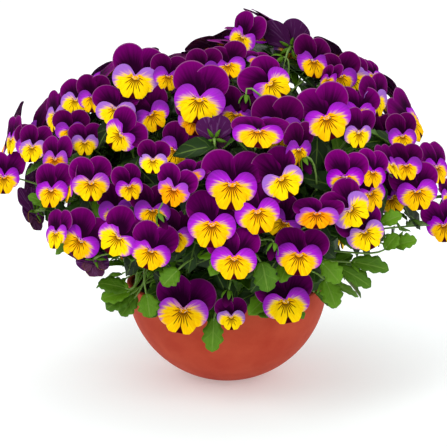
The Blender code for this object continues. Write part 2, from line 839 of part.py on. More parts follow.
def inside_wall(gap):
    """Points down the bowl's inner wall, this far in from it, from the soil's edge to the floor."""
    radius = BOWL_RADIUS - BOWL_WALL
    top = math.asin(SOIL_BELOW_RIM / radius)
    bottom = math.asin((RIM_HEIGHT - BOWL_WALL) / radius)
    return [
        ((radius - gap) * math.cos(a), RIM_HEIGHT - (radius - gap) * math.sin(a))
        for a in np.linspace(top, bottom, 4)
    ]


def bowl(collection, clay):
    lip = (BOWL_RADIUS - BOWL_WALL / 2, RIM_HEIGHT)
    profile = arc(lip, (BOWL_WALL / 2, LIP_ROUND), 90, 0, 3)
    down = np.linspace(0, math.asin(RIM_HEIGHT / BOWL_RADIUS), 7)[1:-1]
    profile += [(BOWL_RADIUS * math.cos(a), RIM_HEIGHT - BOWL_RADIUS * math.sin(a)) for a in down]
    profile += [(FOOT_RADIUS, 0), (0, 0), (0, BOWL_WALL)]
    profile += reversed(inside_wall(0))
    profile += [(BOWL_RADIUS - BOWL_WALL, RIM_HEIGHT), profile[0]]
    return turned_solid("clay_bowl", profile, clay, collection)


def soil(collection, cutters, earth, shoots):
    wall = inside_wall(CLEARANCE)
    profile = [(wall[0][0] * share, soil_top(wall[0][0] * share)) for share in (0, 0.45, 0.8)]
    profile += wall + [(0, wall[-1][1])]
    made = turned_solid("potting_soil", profile, earth, collection)
    for shoot in shoots:
        foot = shoot.stem[0] - [0, 0, CLEARANCE]
        verts, faces = tube([foot, foot + [0, 0, HOLE_LENGTH]], [STEM_RADIUS * 1.5 + CLEARANCE] * 2, 4)
        hole = new_object(f"{shoot.name}_hole", cutters, verts, faces, [])
        hole.hide_render = True
        hole.display_type = "WIRE"
    cut = made.modifiers.new("Stem holes", "BOOLEAN")
    cut.operation = "DIFFERENCE"
    cut.operand_type = "COLLECTION"
    cut.collection = cutters
    cut.solver = "EXACT"
    return made


def main():
    for item in list(bpy.data.objects):
        bpy.data.objects.remove(item)
    plant = bpy.data.collections.new("potted_pansy")
    cutters = bpy.data.collections.new("cutters")
    loose = bpy.data.collections.new("loose_pieces")
    for collection in (plant, cutters, loose):
        bpy.context.scene.collection.children.link(collection)
    cutters.hide_render = True

    purple = material("petal_purple", (0.13, 0.004, 0.10), 0.55)
    violet = material("petal_violet", (0.36, 0.05, 0.62), 0.55)
    yellow = material("petal_yellow", (0.95, 0.62, 0.01), 0.55)
    green = material("leaf_green", (0.07, 0.2, 0.02), 0.5)
    clay = material("fired_clay", (0.45, 0.09, 0.04), 0.85)
    earth = material("potting_soil", (0.03, 0.018, 0.01), 0.95)

    space, by_number = Room(), {}
    settle(list(front_blooms()) + list(back_blooms()), space, by_number)
    fill_gaps(space, by_number)
    clusters = list(by_number.values())
    room = bloom_room(clusters)
    shoots = grown_shoots(room)
    carry_blooms(shoots, clusters, room)
    add_buds(shoots, room)
    front_leaves(shoots, room)
    inner_leaves(shoots, room)

    bowl(plant, clay)
    soil(plant, cutters, earth, shoots)
    for number, cluster in enumerate(clusters, 1):
        pieces = [
            (placed(bloom, verts), faces, colour)
            for bloom in cluster
            for verts, faces, colour in petals(bloom)
        ]
        fused(f"blooms_{number:02d}", pieces, [purple, violet, yellow], plant, loose, "EXACT")
    for shoot in shoots:
        pieces = [(verts, faces, 0) for verts, faces in shoot.pieces]
        fused(shoot.name, pieces, [green], plant, loose, "MANIFOLD")
    bpy.data.collections.remove(loose)
    print(len(clusters), "clusters of", sum(map(len, clusters)), "blooms")


main()
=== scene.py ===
"""Looks of a potted pansy: a clay bowl of soil, leafy shoots and a mound of velvety blooms."""

import logging
import math
from collections.abc import Iterable, Iterator
from dataclasses import dataclass, field
from enum import Enum

import bpy
import numpy as np
from mathutils.bvhtree import BVHTree
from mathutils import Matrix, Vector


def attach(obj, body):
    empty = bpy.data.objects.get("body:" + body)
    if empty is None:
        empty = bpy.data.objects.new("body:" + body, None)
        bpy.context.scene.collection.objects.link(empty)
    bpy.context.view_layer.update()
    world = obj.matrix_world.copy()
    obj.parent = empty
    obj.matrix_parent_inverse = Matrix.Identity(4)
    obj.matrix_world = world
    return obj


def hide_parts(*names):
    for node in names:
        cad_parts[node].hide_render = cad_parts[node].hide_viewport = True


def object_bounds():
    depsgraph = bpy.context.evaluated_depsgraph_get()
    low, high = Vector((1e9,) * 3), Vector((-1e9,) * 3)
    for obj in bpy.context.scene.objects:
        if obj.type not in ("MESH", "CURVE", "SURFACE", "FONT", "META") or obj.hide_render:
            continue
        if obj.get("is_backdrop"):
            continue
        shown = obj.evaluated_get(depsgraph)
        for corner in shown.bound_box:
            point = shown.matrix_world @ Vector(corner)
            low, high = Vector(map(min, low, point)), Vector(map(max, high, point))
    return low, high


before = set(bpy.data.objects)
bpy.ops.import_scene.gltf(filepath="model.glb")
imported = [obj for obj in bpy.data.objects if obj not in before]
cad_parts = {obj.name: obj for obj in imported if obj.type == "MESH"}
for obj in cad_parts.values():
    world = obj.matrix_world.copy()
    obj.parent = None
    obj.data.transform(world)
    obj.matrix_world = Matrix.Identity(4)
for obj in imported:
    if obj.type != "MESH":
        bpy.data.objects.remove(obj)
cad_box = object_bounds()

Points = np.ndarray
Solid = tuple[Points, list]

MM = 0.001
BODY = "root"
GOLDEN_ANGLE = math.pi * (3 - math.sqrt(5))
# How far apart the noises of two petals or leaves may be drawn.
CHANCES = 9
log = logging.getLogger("potted_pansy")


def unit(vector: Iterable) -> Points:
    """The vector at length 1."""
    vector = np.asarray(vector, float)
    return vector / np.linalg.norm(vector)


def turned(vector: Points, axis: Points, angle: float) -> Points:
    """Turns a vector about an axis.

    Args:
        vector: What is turned.
        axis: The unit axis.
        angle: Radians, right-handed.

    Returns:
        The turned vector.
    """
    return (
        vector * math.cos(angle)
        + np.cross(axis, vector) * math.sin(angle)
        + axis * axis.dot(vector) * (1 - math.cos(angle))
    )


class Tone(Enum):
    """How a bloom is coloured, by its age and its light.

    Each value is (gold, violet, dusk, blush), from 0 to 1: lemon to orange, lavender to strong
    violet, magenta to nearly black upper petals, and the violet share of the side petals. The
    third is partly the bloom's own darker velvet and partly painted shade: it is highest on
    blooms that face away or sit deep in the mound, and it also darkens their petal backs.
    """

    LEMON = (0.1, 0.9, 0.45, 0.35)
    FADED = (0.08, 0.3, 0.6, 0.25)
    GOLDEN = (0.36, 0.95, 0.4, 0.5)
    AMBER = (0.72, 0.75, 0.35, 0.35)
    # Painted shade: nearly black upper petals and dark backs, for blooms that face away or sit deep in the
    # mound.
    DUSKY = (0.35, 0.9, 0.95, 0.9)
    SUNNY = (0.3, 0.8, 0.35, 0.0)
    MAGENTA = (0.45, 1.0, 0.1, 0.7)
    PALE = (0.0, 0.2, 0.8, 0.1)


L, F, G, A, D, S, M, P = Tone


@dataclass(frozen=True)
class View:
    """The front view, as the listed blooms and leaves are read in it.

    The scale holds at the bowl's axis. Pixels are those of a picture 447 wide and high.
    """

    distance: float = 1.4
    elevation: float = math.radians(13.5)
    aside: float = -2.8 * MM
    above_rim: float = 45.4 * MM
    pixel: float = 0.8 * MM
    middle: float = 223.5
    width: int = 447
    rim_height: float = math.sqrt((80 * MM) ** 2 - (20 * MM) ** 2)

    @property
    def forward(self) -> Points:
        """The unit vector that the camera looks along."""
        return np.array([0, math.cos(self.elevation), -math.sin(self.elevation)])

    @property
    def upward(self) -> Points:
        """The unit vector up the picture."""
        return np.array([0, math.sin(self.elevation), math.cos(self.elevation)])

    @property
    def eye(self) -> Points:
        """Where the camera stands."""
        rim = np.array([self.aside, 0, self.rim_height])
        return rim - self.forward * self.distance + self.upward * self.above_rim

    def sight(self, column: float, row: float) -> Points:
        """The unit vector from the eye through a pixel."""
        across = np.array([1.0, 0, 0]) * ((column - self.middle) * self.pixel)
        up = self.upward * ((self.middle - row) * self.pixel)
        return unit(self.forward * self.distance + across + up)

    def camera(self) -> None:
        """Makes the camera and gives it to the scene."""
        data = bpy.data.cameras.new("front_camera")
        data.sensor_width = 36
        data.lens = data.sensor_width * self.distance / (self.width * self.pixel)
        data.clip_end = 100
        made = bpy.data.objects.new("front_camera", data)
        made.location = self.eye
        made.rotation_euler = (math.radians(90) - self.elevation, 0, 0)
        bpy.context.scene.collection.objects.link(made)
        bpy.context.scene.camera = made


VIEW = View()


@dataclass(frozen=True)
class Mound:
    """The form that the blooms cover: an ellipsoid above, cut by a 45 degree cone beneath."""

    centre: float = 140 * MM
    radius: float = 170 * MM
    rise: float = 142 * MM
    underside: float = 34 * MM

    def depth(self, points: Points) -> Points:
        """Below 1 inside the mound, above 1 outside it."""
        radius = np.hypot(points[..., 0], points[..., 1])
        rise = (points[..., 2] - self.centre) / self.rise
        above = np.hypot(radius / self.radius, rise)
        beneath = radius / np.maximum(self.underside + points[..., 2], MM)
        return np.maximum(above, beneath)

    def met(self, column: float, row: float) -> Points:
        """Where a pixel's line of sight first meets the mound, or else passes nearest."""
        distances = np.arange(VIEW.distance - 0.26, VIEW.distance + 0.02, MM)
        points = VIEW.eye + VIEW.sight(column, row) * distances[:, None]
        depth = self.depth(points)
        inside = np.flatnonzero(depth < 1)
        return points[inside[0] if len(inside) else depth.argmin()]


MOUND = Mound()


def slab(outline: Iterable, lift: float, slope_x: float, slope_y: float, thick: float) -> Solid:
    """A flat blade in a sloping plane.

    Args:
        outline: Its corners in x and y.
        lift: The plane's height at the origin.
        slope_x: How much the plane rises along x.
        slope_y: How much the plane rises along y.
        thick: The blade's thickness.

    Returns:
        Its points and faces.
    """
    outline = np.array(outline, float)
    z = lift + slope_x * outline[:, 0] + slope_y * outline[:, 1]
    under = np.column_stack([outline, z - thick / 2])
    over = np.column_stack([outline, z + thick / 2])
    n = len(outline)
    faces = [list(range(n))[::-1], list(range(n, 2 * n))]
    faces += [[i, (i + 1) % n, n + (i + 1) % n, n + i] for i in range(n)]
    return np.vstack([under, over]), faces


def rings(points: Points, radii: Points, sides: int, leave: Points | None = None) -> Points:
    """Rings of points round a line, each turned as little as possible from the one before.

    Args:
        points: The line's points.
        radii: A radius for each.
        sides: Points in each ring.
        leave: What the first ring is square to, where that isn't the line's own direction.

    Returns:
        The rings, as an array of (points, sides, 3).
    """
    points = np.asarray(points, float)
    along = np.gradient(points, axis=0)
    along /= np.linalg.norm(along, axis=1)[:, None]
    if leave is not None:
        along[0] = leave
    across = unit(np.cross(along[0], [0.36, 0.48, 0.8]))
    angles = np.arange(sides) * 2 * math.pi / sides
    made = []
    for point, radius, ahead in zip(points, radii, along):
        across = unit(across - ahead * across.dot(ahead))
        third = np.cross(ahead, across)
        round_it = np.outer(np.cos(angles), across) + np.outer(np.sin(angles), third)
        made.append(point + radius * round_it)
    return np.array(made)


def tube(points: Points, radii: Points, sides: int, leave: Points | None = None) -> Solid:
    """A tapering tube, closed at both ends, as points and faces. The arguments are those of rings."""
    faces = [list(range(sides))[::-1]]
    for ring in range(len(points) - 1):
        for j in range(sides):
            a, b = ring * sides + j, ring * sides + (j + 1) % sides
            faces += [[a, b, b + sides], [a, b + sides, a + sides]]
    last = (len(points) - 1) * sides
    faces.append(list(range(last, last + sides)))
    return rings(points, radii, sides, leave).reshape(-1, 3), faces


def arc(centre: tuple, radii: tuple, start: float, end: float, count: int) -> list[tuple]:
    """Points of an ellipse's arc.

    Args:
        centre: The ellipse's centre.
        radii: Its half width and half height.
        start: The first angle in degrees.
        end: The last angle in degrees.
        count: How many points.

    Returns:
        The points in x and y.
    """
    angles = np.radians(np.linspace(start, end, count))
    return [(centre[0] + radii[0] * math.cos(a), centre[1] + radii[1] * math.sin(a)) for a in angles]


def mirrored(outline: Iterable) -> list[tuple]:
    """The outline on the other side of the y axis, in the same turning direction."""
    return [(-x, y) for x, y in reversed(list(outline))]


def curve(start: Points, leave: Points, arrive: Points, end: Points, count: int) -> Points:
    """Points of a cubic Bezier curve.

    Args:
        start: Its first point.
        leave: The point that it leaves towards.
        arrive: The point that it arrives from.
        end: Its last point.
        count: How many points.

    Returns:
        The points.
    """
    t = np.linspace(0, 1, count)[:, None]
    return (
        start * (1 - t) ** 3 + leave * 3 * t * (1 - t) ** 2 + arrive * 3 * t**2 * (1 - t) + end * t**3
    )


class Room:
    """The space taken so far, kept as surface trees, each with the group that it belongs to."""

    def __init__(self) -> None:
        """Starts with nothing taken."""
        self.taken: list[tuple] = []

    def add(self, group: object, verts: Points, faces: list) -> None:
        """Takes the space of a piece for a group."""
        centre = verts.mean(axis=0)
        reach = np.linalg.norm(verts - centre, axis=1).max()
        self.taken.append((group, centre, reach, BVHTree.FromPolygons(verts.tolist(), faces)))

    def touched(self, verts: Points, faces: list, skip: Iterable = ()) -> set:
        """Finds what a piece would cross.

        Args:
            verts: The piece's points.
            faces: Its faces.
            skip: Groups that it may cross.

        Returns:
            The groups that it crosses.
        """
        centre = verts.mean(axis=0)
        reach = np.linalg.norm(verts - centre, axis=1).max()
        tree = BVHTree.FromPolygons(verts.tolist(), faces)
        near = [
            (group, other)
            for group, middle, far, other in self.taken
            if group not in skip and np.linalg.norm(middle - centre) < far + reach
        ]
        return {group for group, other in near if tree.overlap(other)}

    def blocks(self, column: float, row: float) -> bool:
        """Whether a line of sight of the front view meets a piece in the nearer half of the mound."""
        ray = VIEW.sight(column, row)
        for _, centre, reach, tree in self.taken:
            if np.linalg.norm(np.cross(centre - VIEW.eye, ray)) < reach:
                if tree.ray_cast(VIEW.eye.tolist(), ray.tolist(), VIEW.distance)[0]:
                    return True
        return False


@dataclass
class Bloom:
    """One bloom: where its throat is, its axes (right, up, facing as columns), size and tone."""

    throat: Points
    axes: Points
    size: float
    blades: int
    tone: Tone
    cluster: int = -1

    UPPER_BACK = -0.22
    LIP_FORWARD = -0.16
    SIDE_FORWARD = 0.07
    LEAN_BACK = -0.1
    LEAN_FORWARD = -0.25
    UPPER_STEP = 0.62 * MM
    SIDE_LIFT = 0.55 * MM
    SIDE_STEP = 0.15 * MM
    LIP_LIFT = 1.1 * MM
    LEAN_LIP_LIFT = 0.7 * MM
    THICK = 0.8 * MM

    def place(self, points: Points) -> Points:
        """Points in the bloom's own axes, brought to where it is."""
        return self.throat + points @ self.axes.T

    @property
    def planes(self) -> dict:
        """For each kind of petal, the plane that it grows on: its lift, and its slopes along x and y."""
        if self.blades == 2:
            return {
                Finish.UPPER: (0.0, 0.0, self.LEAN_BACK),
                Finish.SIDE: (self.SIDE_LIFT, 0.0, self.LEAN_BACK),
                Finish.LIP: (self.LEAN_LIP_LIFT, 0.0, self.LEAN_FORWARD),
            }
        return {
            Finish.UPPER: (0.0, 0.0, self.UPPER_BACK),
            Finish.SIDE: (self.SIDE_LIFT, self.SIDE_FORWARD if self.blades == 5 else 0.0, 0.0),
            Finish.LIP: (self.LIP_LIFT, 0.0, self.LIP_FORWARD),
        }

    def plain(self) -> Solid:
        """The bloom as the frame has it, in five, three or two flat blades."""
        upper = [(-1, -3), (2.6, -2.2)] + arc((8.4, 14.2), (12.4, 13.4), -30, 190, 5)
        side = [(-1.7, -2.1)] + arc((11.6, 1.2), (8.8, 9.6), -78, 98, 4) + [(-1.4, 2.3)]
        lip = [(0, 4), (-13.5, -8), (-8, -20.5), (8, -20.5), (13.5, -8)]
        lobe = [(17, 6.5), (19.5, 19), (9, 28)]
        two_uppers = [(0, -3)] + lobe + [(0, 22.5)] + mirrored(lobe)
        both_sides = [(-8, -8), (8, -8), (20, -1), (13, 11), (0, 2.6), (-13, 11), (-20, -1)]
        half = [(9, -8), (20, -1), (14, 8), (19.5, 18), (9, 28)]
        if self.blades == 5:
            blades = [
                (mirrored(upper), 0, 0, self.UPPER_BACK),
                (upper, -self.UPPER_STEP, 0, self.UPPER_BACK),
                (side, self.SIDE_LIFT, self.SIDE_FORWARD, 0),
                (mirrored(side), self.SIDE_LIFT + self.SIDE_STEP, -self.SIDE_FORWARD, 0),
                (lip, self.LIP_LIFT, 0, self.LIP_FORWARD),
            ]
        elif self.blades == 3:
            blades = [
                (two_uppers, 0, 0, self.UPPER_BACK),
                (both_sides, self.SIDE_LIFT, 0, 0),
                (lip, self.LIP_LIFT, 0, self.LIP_FORWARD),
            ]
        else:
            blades = [
                (half + mirrored(half), 0, 0, self.LEAN_BACK),
                (lip, self.LEAN_LIP_LIFT, 0, self.LEAN_FORWARD),
            ]
        verts, faces, start = [], [], 0
        for outline, lift, slope_x, slope_y in blades:
            points, polygons = slab(np.array(outline) * MM * self.size, lift, slope_x, slope_y, self.THICK)
            verts.append(points)
            faces += [[start + i for i in polygon] for polygon in polygons]
            start += len(points)
        return self.place(np.vstack(verts)), faces


def facing_axes(facing: Points, up: Points, roll: float) -> Points:
    """The axes of a bloom.

    Args:
        facing: The unit vector that it faces along.
        up: What its upper petals point to.
        roll: Degrees that its top leans to the right.

    Returns:
        Right, up and facing as columns.
    """
    up = unit(up - facing * facing.dot(up))
    up = turned(up, facing, -math.radians(roll))
    return np.column_stack([np.cross(up, facing), up, facing])


@dataclass
class Stalk:
    """A flower stalk or petiole: the four points of its Bezier curve, and what it leaves along."""

    bends: tuple
    leave: Points
    end_radius: float


@dataclass
class Leaf:
    """One leaf blade, from its base to its tip.

    Its age is 0 where it is young and light, 1 where it is dark, and up to 2 deep in the shade,
    where past 1 it takes painted shade, near black.
    """

    base: Points
    tip: Points
    width: float
    normal: Points
    age: float = 0.5
    rows: int = 15
    toothed: bool = True

    @property
    def length(self) -> float:
        """How long it is."""
        return np.linalg.norm(self.tip - self.base)

    @property
    def axes(self) -> Points:
        """Across, along and facing as columns."""
        along = (self.tip - self.base) / self.length
        across = unit(np.cross(along, self.normal))
        return np.column_stack([across, along, np.cross(across, along)])

    def plain(self) -> Solid:
        """The leaf as the frame has it, a flat toothed blade, as points and faces."""
        side = [(0.1, 0), (0.46, 0.42), (0.38, 0.56), (0.4, 0.76)]
        right = [(x * self.width, y * self.length) for x, y in side]
        verts, faces = slab(right + [(0, self.length)] + mirrored(right), 0, 0, 0, Bloom.THICK)
        return self.base + verts @ self.axes.T, faces


@dataclass
class Shoot:
    """One leafy shoot: its stem's points and bends, its stalks, leaves and petioles."""

    name: str
    stem: Points
    bends: tuple
    stalks: list[Stalk] = field(default_factory=list)
    petioles: list[Stalk] = field(default_factory=list)
    leaves: list[Leaf] = field(default_factory=list)
    buds: list[tuple] = field(default_factory=list)

    @property
    def own(self) -> str:
        """The group of the shoot's stem, which its own stalks and leaves may enter."""
        return self.name + "_stem"

    def point(self, share: float) -> Points:
        """A point on the stem's upper part, from 0 at its middle to 1 at its tip."""
        place = (len(self.stem) - 1) * (0.45 + 0.55 * share)
        below = min(int(place), len(self.stem) - 2)
        return self.stem[below] + (self.stem[below + 1] - self.stem[below]) * (place - below)


@dataclass
class Planting:
    """Where every bloom, stem, stalk and leaf is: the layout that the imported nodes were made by."""

    full_width: float = 40 * MM
    five_blades_from: float = 54
    three_blades_from: float = 46
    most_in_cluster: int = 7
    shifts: tuple = tuple(sorted(np.arange(-26, 25) * MM, key=abs))
    edge_reach: float = 2.5 * MM
    alone_cost: float = 40 * MM
    back_spiral: int = 36
    back_starts: float = -0.2
    bunch: tuple = ((0, 0), (0.2, 0.09), (-0.06, 0.21))
    back_width: float = 42 * MM
    gap_step: int = 12
    gap_rows: tuple = (66, 236)
    gap_columns: tuple = (44, 412)
    gap_below_skyline: float = 12
    gap_spread: float = 4
    gap_throat_below: float = 13
    gap_depth: float = 24 * MM
    gap_width: float = 36
    gap_most: int = 16
    shoot_count: int = 16
    crown_radius: float = 46 * MM
    stem_radius: float = 2.0 * MM
    stem_in_soil: float = 16 * MM
    stalk_radius: float = 0.8 * MM
    calyx_radius: float = 1.7 * MM
    calyx_behind: float = 1.4 * MM
    calyx_above: float = 1.2 * MM
    clearance: float = 0.3 * MM
    leaf_length: float = 36 * MM
    leaf_width: float = 18 * MM
    leaves_per_shoot: int = 2
    stalk_tries: int = 90
    bud_length: float = 13 * MM
    bud_radii: tuple = (1.3 * MM, 3.5 * MM, 3.1 * MM, 0.7 * MM)
    bud_in_stalk: float = 1 * MM
    soil_edge: float = 75.5 * MM
    soil_below_rim: float = 9 * MM
    soil_crown: float = 9 * MM

    # Each bloom of the front: column and row of its throat, width across the side petals in
    # pixels, then yaw, pitch and roll in degrees, and its tone. Those behind come first.
    # Tone D gives painted shade to blooms that face away or sit deep among the others.
    FRONT_BLOOMS = (
        (70, 131, 32, -10, 0, 0, D), (30, 146, 32, -25, 0, 10, D), (340, 77, 38, 10, 0, 0, D),
        (345, 178, 40, 5, 0, 0, M), (372, 173, 34, 30, 0, 10, M), (406, 166, 34, 15, 0, 0, D),
        (292, 48, 46, 150, 15, 0, M), (313, 62, 40, 32, 5, 8, D), (203, 70, 34, -10, 10, 0, D),
        (228, 66, 38, -10, 20, -15, D), (243, 38, 38, -40, 8, 25, L), (258, 60, 24, 10, 50, 0, A),
        (168, 77, 34, 10, 5, 10, D), (350, 80, 46, 15, 30, -20, P), (329, 80, 26, -50, 20, 0, G),
        (373, 76, 26, 45, 20, 0, L), (93, 98, 34, -20, 0, 0, D), (135, 79, 50, 0, 5, 8, F),
        (279, 130, 50, 0, 0, 0, D), (271, 85, 46, 10, 18, -42, L), (375, 100, 38, 48, -5, 0, F),
        (76, 101, 36, -30, 15, 0, F), (195, 120, 36, -5, -8, 0, A), (199, 101, 55, 0, 0, 8, L),
        (116, 110, 42, -5, 22, 0, F), (358, 112, 40, 18, 0, 0, G), (56, 116, 40, -62, 0, 0, F),
        (402, 137, 34, 25, 0, 0, D), (327, 119, 50, 0, 0, -17, G), (215, 140, 36, 168, 10, 0, D),
        (358, 133, 36, 38, -15, 0, F), (121, 135, 40, -32, -12, 50, L), (258, 134, 54, 0, 48, 0, G),
        (12, 140, 34, -68, 0, 0, L), (85, 143, 30, -10, 0, 0, F), (33, 148, 36, -38, 5, 0, F),
        (298, 150, 40, 45, -18, 0, D), (153, 161, 30, -5, 0, 0, P), (56, 160, 38, -48, 0, 0, A),
        (391, 166, 36, 66, 20, 0, L), (436, 168, 40, 52, 5, 0, G), (5, 178, 38, -35, 0, 0, G),
        (190, 175, 36, -28, 38, 0, A), (91, 184, 40, 0, 0, 0, S), (129, 187, 32, 22, 0, -12, G),
        (70, 188, 38, -82, 0, 0, M), (52, 191, 40, -34, 0, 0, G), (282, 180, 46, 5, 0, -28, F),
        (174, 190, 38, -25, -10, 20, A), (370, 194, 42, 42, 0, -20, G), (232, 186, 56, 0, 0, 3, G),
        (417, 192, 44, 12, 0, -8, G), (448, 197, 30, 60, 0, 0, L), (34, 214, 40, -125, -28, 0, D),
        (351, 210, 44, 18, 0, -50, F), (258, 213, 49, 0, 0, -10, G), (317, 216, 46, -5, 40, 0, A),
        (443, 226, 40, 28, 0, 0, M), (212, 226, 52, -4, 4, 4, G), (365, 233, 42, 15, 0, -25, F),
        (57, 234, 36, -52, 0, 0, L), (93, 262, 40, -150, -38, 0, D), (118, 238, 44, 0, 5, 40, L),
        (80, 241, 44, -8, 0, 32, G), (151, 252, 44, 0, 0, 18, G), (299, 257, 50, 0, 20, 5, G),
        (234, 260, 50, 0, 6, 0, G), (286, 303, 50, 0, 0, -8, L), (231, 318, 30, 10, 0, 0, P),
        (183, 312, 54, 0, 0, 10, S),
    )

    # How much deeper in the mound a bloom starts that others hide in part, by its throat's pixel.
    SUNK = {(195, 120): 22 * MM}

    # Each leaf of the front: pixels of its base and its tip, and its width in pixels.
    FRONT_LEAVES = (
        ((128, 290), (98, 283), 16),
        ((130, 292), (101, 299), 16),
        ((132, 294), (106, 309), 18),
        ((136, 296), (121, 316), 16),
        ((146, 294), (150, 318), 18),
        ((178, 270), (163, 286), 18),
        ((214, 318), (212, 352), 18),
        ((262, 262), (268, 292), 20),
        ((200, 174), (203, 149), 12),
        ((322, 262), (340, 283), 18),
        ((326, 280), (336, 308), 18),
        ((340, 268), (371, 287), 16),
        ((352, 262), (389, 270), 16),
        ((386, 250), (398, 234), 14),
        ((396, 246), (417, 240), 14),
        ((382, 224), (402, 215), 14),
        ((50, 205), (28, 196), 12),
        ((226, 84), (215, 92), 12),
    )

    # Each bud: the pixel of its base, and how far its tip points right of and below it.
    BUDS = (
        ((246, 95), (-2, 14)),
        ((283, 57), (-10, 4)),
        ((229, 290), (-3, 14)),
        ((274, 243), (-3, 12)),
        ((303, 158), (5, 11)),
        ((158, 214), (6, 10)),
    )

    # The outline of the mound against the background, as pixels from left to right.
    SKYLINE = (
        (-20, 185), (0, 150), (30, 110), (70, 90), (90, 66), (130, 50), (190, 52), (215, 40), (235, 12),
        (260, 12), (275, 32), (310, 34), (360, 62), (395, 100), (412, 138), (447, 155), (470, 190),
    )

    # The lowest that blooms of the far side hang in that view, in the same way.
    UNDERSIDE = (
        (-20, 195), (30, 225), (70, 270), (130, 300), (310, 300), (360, 250), (400, 225), (470, 215),
    )

    def plant(self) -> None:
        """Works out the whole layout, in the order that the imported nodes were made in."""
        self.space, self.by_number = Room(), {}
        self.settle(list(self.front_blooms()) + list(self.back_blooms()))
        self.fill_gaps()
        self.clusters = list(self.by_number.values())
        self.blooms = [bloom for cluster in self.clusters for bloom in cluster]
        self.room = Room()
        for bloom in self.blooms:
            self.room.add(id(bloom), *bloom.plain())
        self.shoots = self.grown_shoots()
        self.carry_blooms()
        self.add_buds()
        self.front_leaves()
        self.inner_leaves()

    def skyline(self, column: Points | float) -> Points:
        """The row of the mound's outline in a column."""
        columns, rows = np.transpose(self.SKYLINE)
        return np.interp(column, columns, rows)

    def behind_skyline(self, points: Points) -> bool:
        """Whether the front view sees all these points between the mound's outline and underside."""
        away = points - VIEW.eye
        scale = VIEW.distance / VIEW.pixel / (away @ VIEW.forward)
        columns = VIEW.middle + away[:, 0] * scale
        rows = VIEW.middle - (away @ VIEW.upward) * scale
        lowest = np.interp(columns, *np.transpose(self.UNDERSIDE))
        return (rows > self.skyline(columns)).all() and (rows < lowest).all()

    def front_blooms(self) -> Iterator[tuple[Bloom, Points]]:
        """The listed blooms, each with the direction that it may slide in and stay in view."""
        for column, row, width, yaw, pitch, roll, tone in self.FRONT_BLOOMS:
            ray = VIEW.sight(column, row)
            point = MOUND.met(column, row) + ray * self.SUNK.get((column, row), 0)
            side = unit(np.cross(ray, VIEW.upward))
            up = np.cross(side, ray)
            yaw, pitch = math.radians(yaw), math.radians(pitch)
            facing = math.cos(pitch) * (side * math.sin(yaw) - ray * math.cos(yaw)) + up * math.sin(pitch)
            size = width * VIEW.pixel * np.linalg.norm(point - VIEW.eye) / VIEW.distance / self.full_width
            blades = 5 if width >= self.five_blades_from else 3 if width >= self.three_blades_from else 2
            yield Bloom(point, facing_axes(unit(facing), up, roll), size, blades, tone), ray

    def back_blooms(self) -> Iterator[tuple[Bloom, Points]]:
        """Bunches of blooms on the far side, along a golden spiral over the mound.

        Each is as far out as the mound reaches without showing above the outline of the front view.
        """
        random = np.random.default_rng(7)
        tones = (L, G, F, D, G, A, L, G, M)
        centre = np.array([0, 0, MOUND.centre])
        reach = np.arange(190, 20, -2) * MM
        for k in range(self.back_spiral):
            sine = 0.97 - 1.4 * (k + 0.5) / self.back_spiral
            azimuth = k * GOLDEN_ANGLE
            across = np.array([-math.sin(azimuth), math.cos(azimuth), 0])
            middle = np.array([math.cos(azimuth), math.sin(azimuth), 0]) * math.sqrt(1 - sine**2)
            middle[2] = sine
            if middle[1] < self.back_starts:
                continue
            for place, (aside, above) in enumerate(self.bunch):
                lean, tip, roll, size = random.uniform(-1, 1, 4)
                away = unit(middle + across * aside + np.cross(middle, across) * above)
                facing = unit(away * [1, 1, 0.6] + across * 0.25 * lean + [0, 0, 0.15 + 0.2 * tip])
                axes = facing_axes(facing, np.array([0, 0, 1.0]) - 0.2 * away, 22 * roll)
                width = self.back_width + 4 * MM * size
                tone = tones[(k + 4 * place) % len(tones)]
                points = centre + away * reach[:, None]
                for point in points[MOUND.depth(points) < 1]:
                    bloom = Bloom(point, axes, width / self.full_width, 2, tone)
                    if self.behind_skyline(bloom.plain()[0]):
                        yield bloom, -away
                        break

    def settle_one(self, bloom: Bloom, slide: Points, number: int | None, shifts: Iterable) -> bool:
        """Slides a bloom along a line until it just meets one cluster, or else stands clear.

        Args:
            bloom: The bloom.
            slide: The unit vector that it may slide along.
            number: Its cluster's number where it stands alone, or None where it may not.
            shifts: How far it may slide, the least first.

        Returns:
            Whether it has found a place.
        """
        verts, faces = bloom.plain()
        met = {shift: self.space.touched(verts + slide * shift, faces) for shift in shifts}
        choices = []
        for place, shift in enumerate(shifts):
            if not met[shift] and number is not None:
                choices.append((abs(shift) + self.alone_cost, place, shift, number))
            elif len(met[shift]) == 1:
                cluster = next(iter(met[shift]))
                edge = any(not met[near] for near in shifts if abs(near - shift) < self.edge_reach)
                if edge and len(self.by_number[cluster]) < self.most_in_cluster:
                    choices.append((abs(shift), place, shift, cluster))
        if choices:
            _, _, shift, bloom.cluster = min(choices)
            bloom.throat = bloom.throat + slide * shift
            self.by_number.setdefault(bloom.cluster, []).append(bloom)
            self.space.add(bloom.cluster, verts + slide * shift, faces)
        return bool(choices)

    def settle(self, blooms_and_slides: list[tuple[Bloom, Points]]) -> None:
        """Settles all these blooms, and those that stand alone again once all are there."""
        for turn in range(3):
            for number, (bloom, slide) in enumerate(blooms_and_slides):
                if turn and len(self.by_number[bloom.cluster]) > 1:
                    continue
                if turn:
                    others = [entry for entry in self.space.taken if entry[0] != bloom.cluster]
                    self.space.taken = others
                    del self.by_number[bloom.cluster]
                self.settle_one(bloom, slide, number, self.shifts)

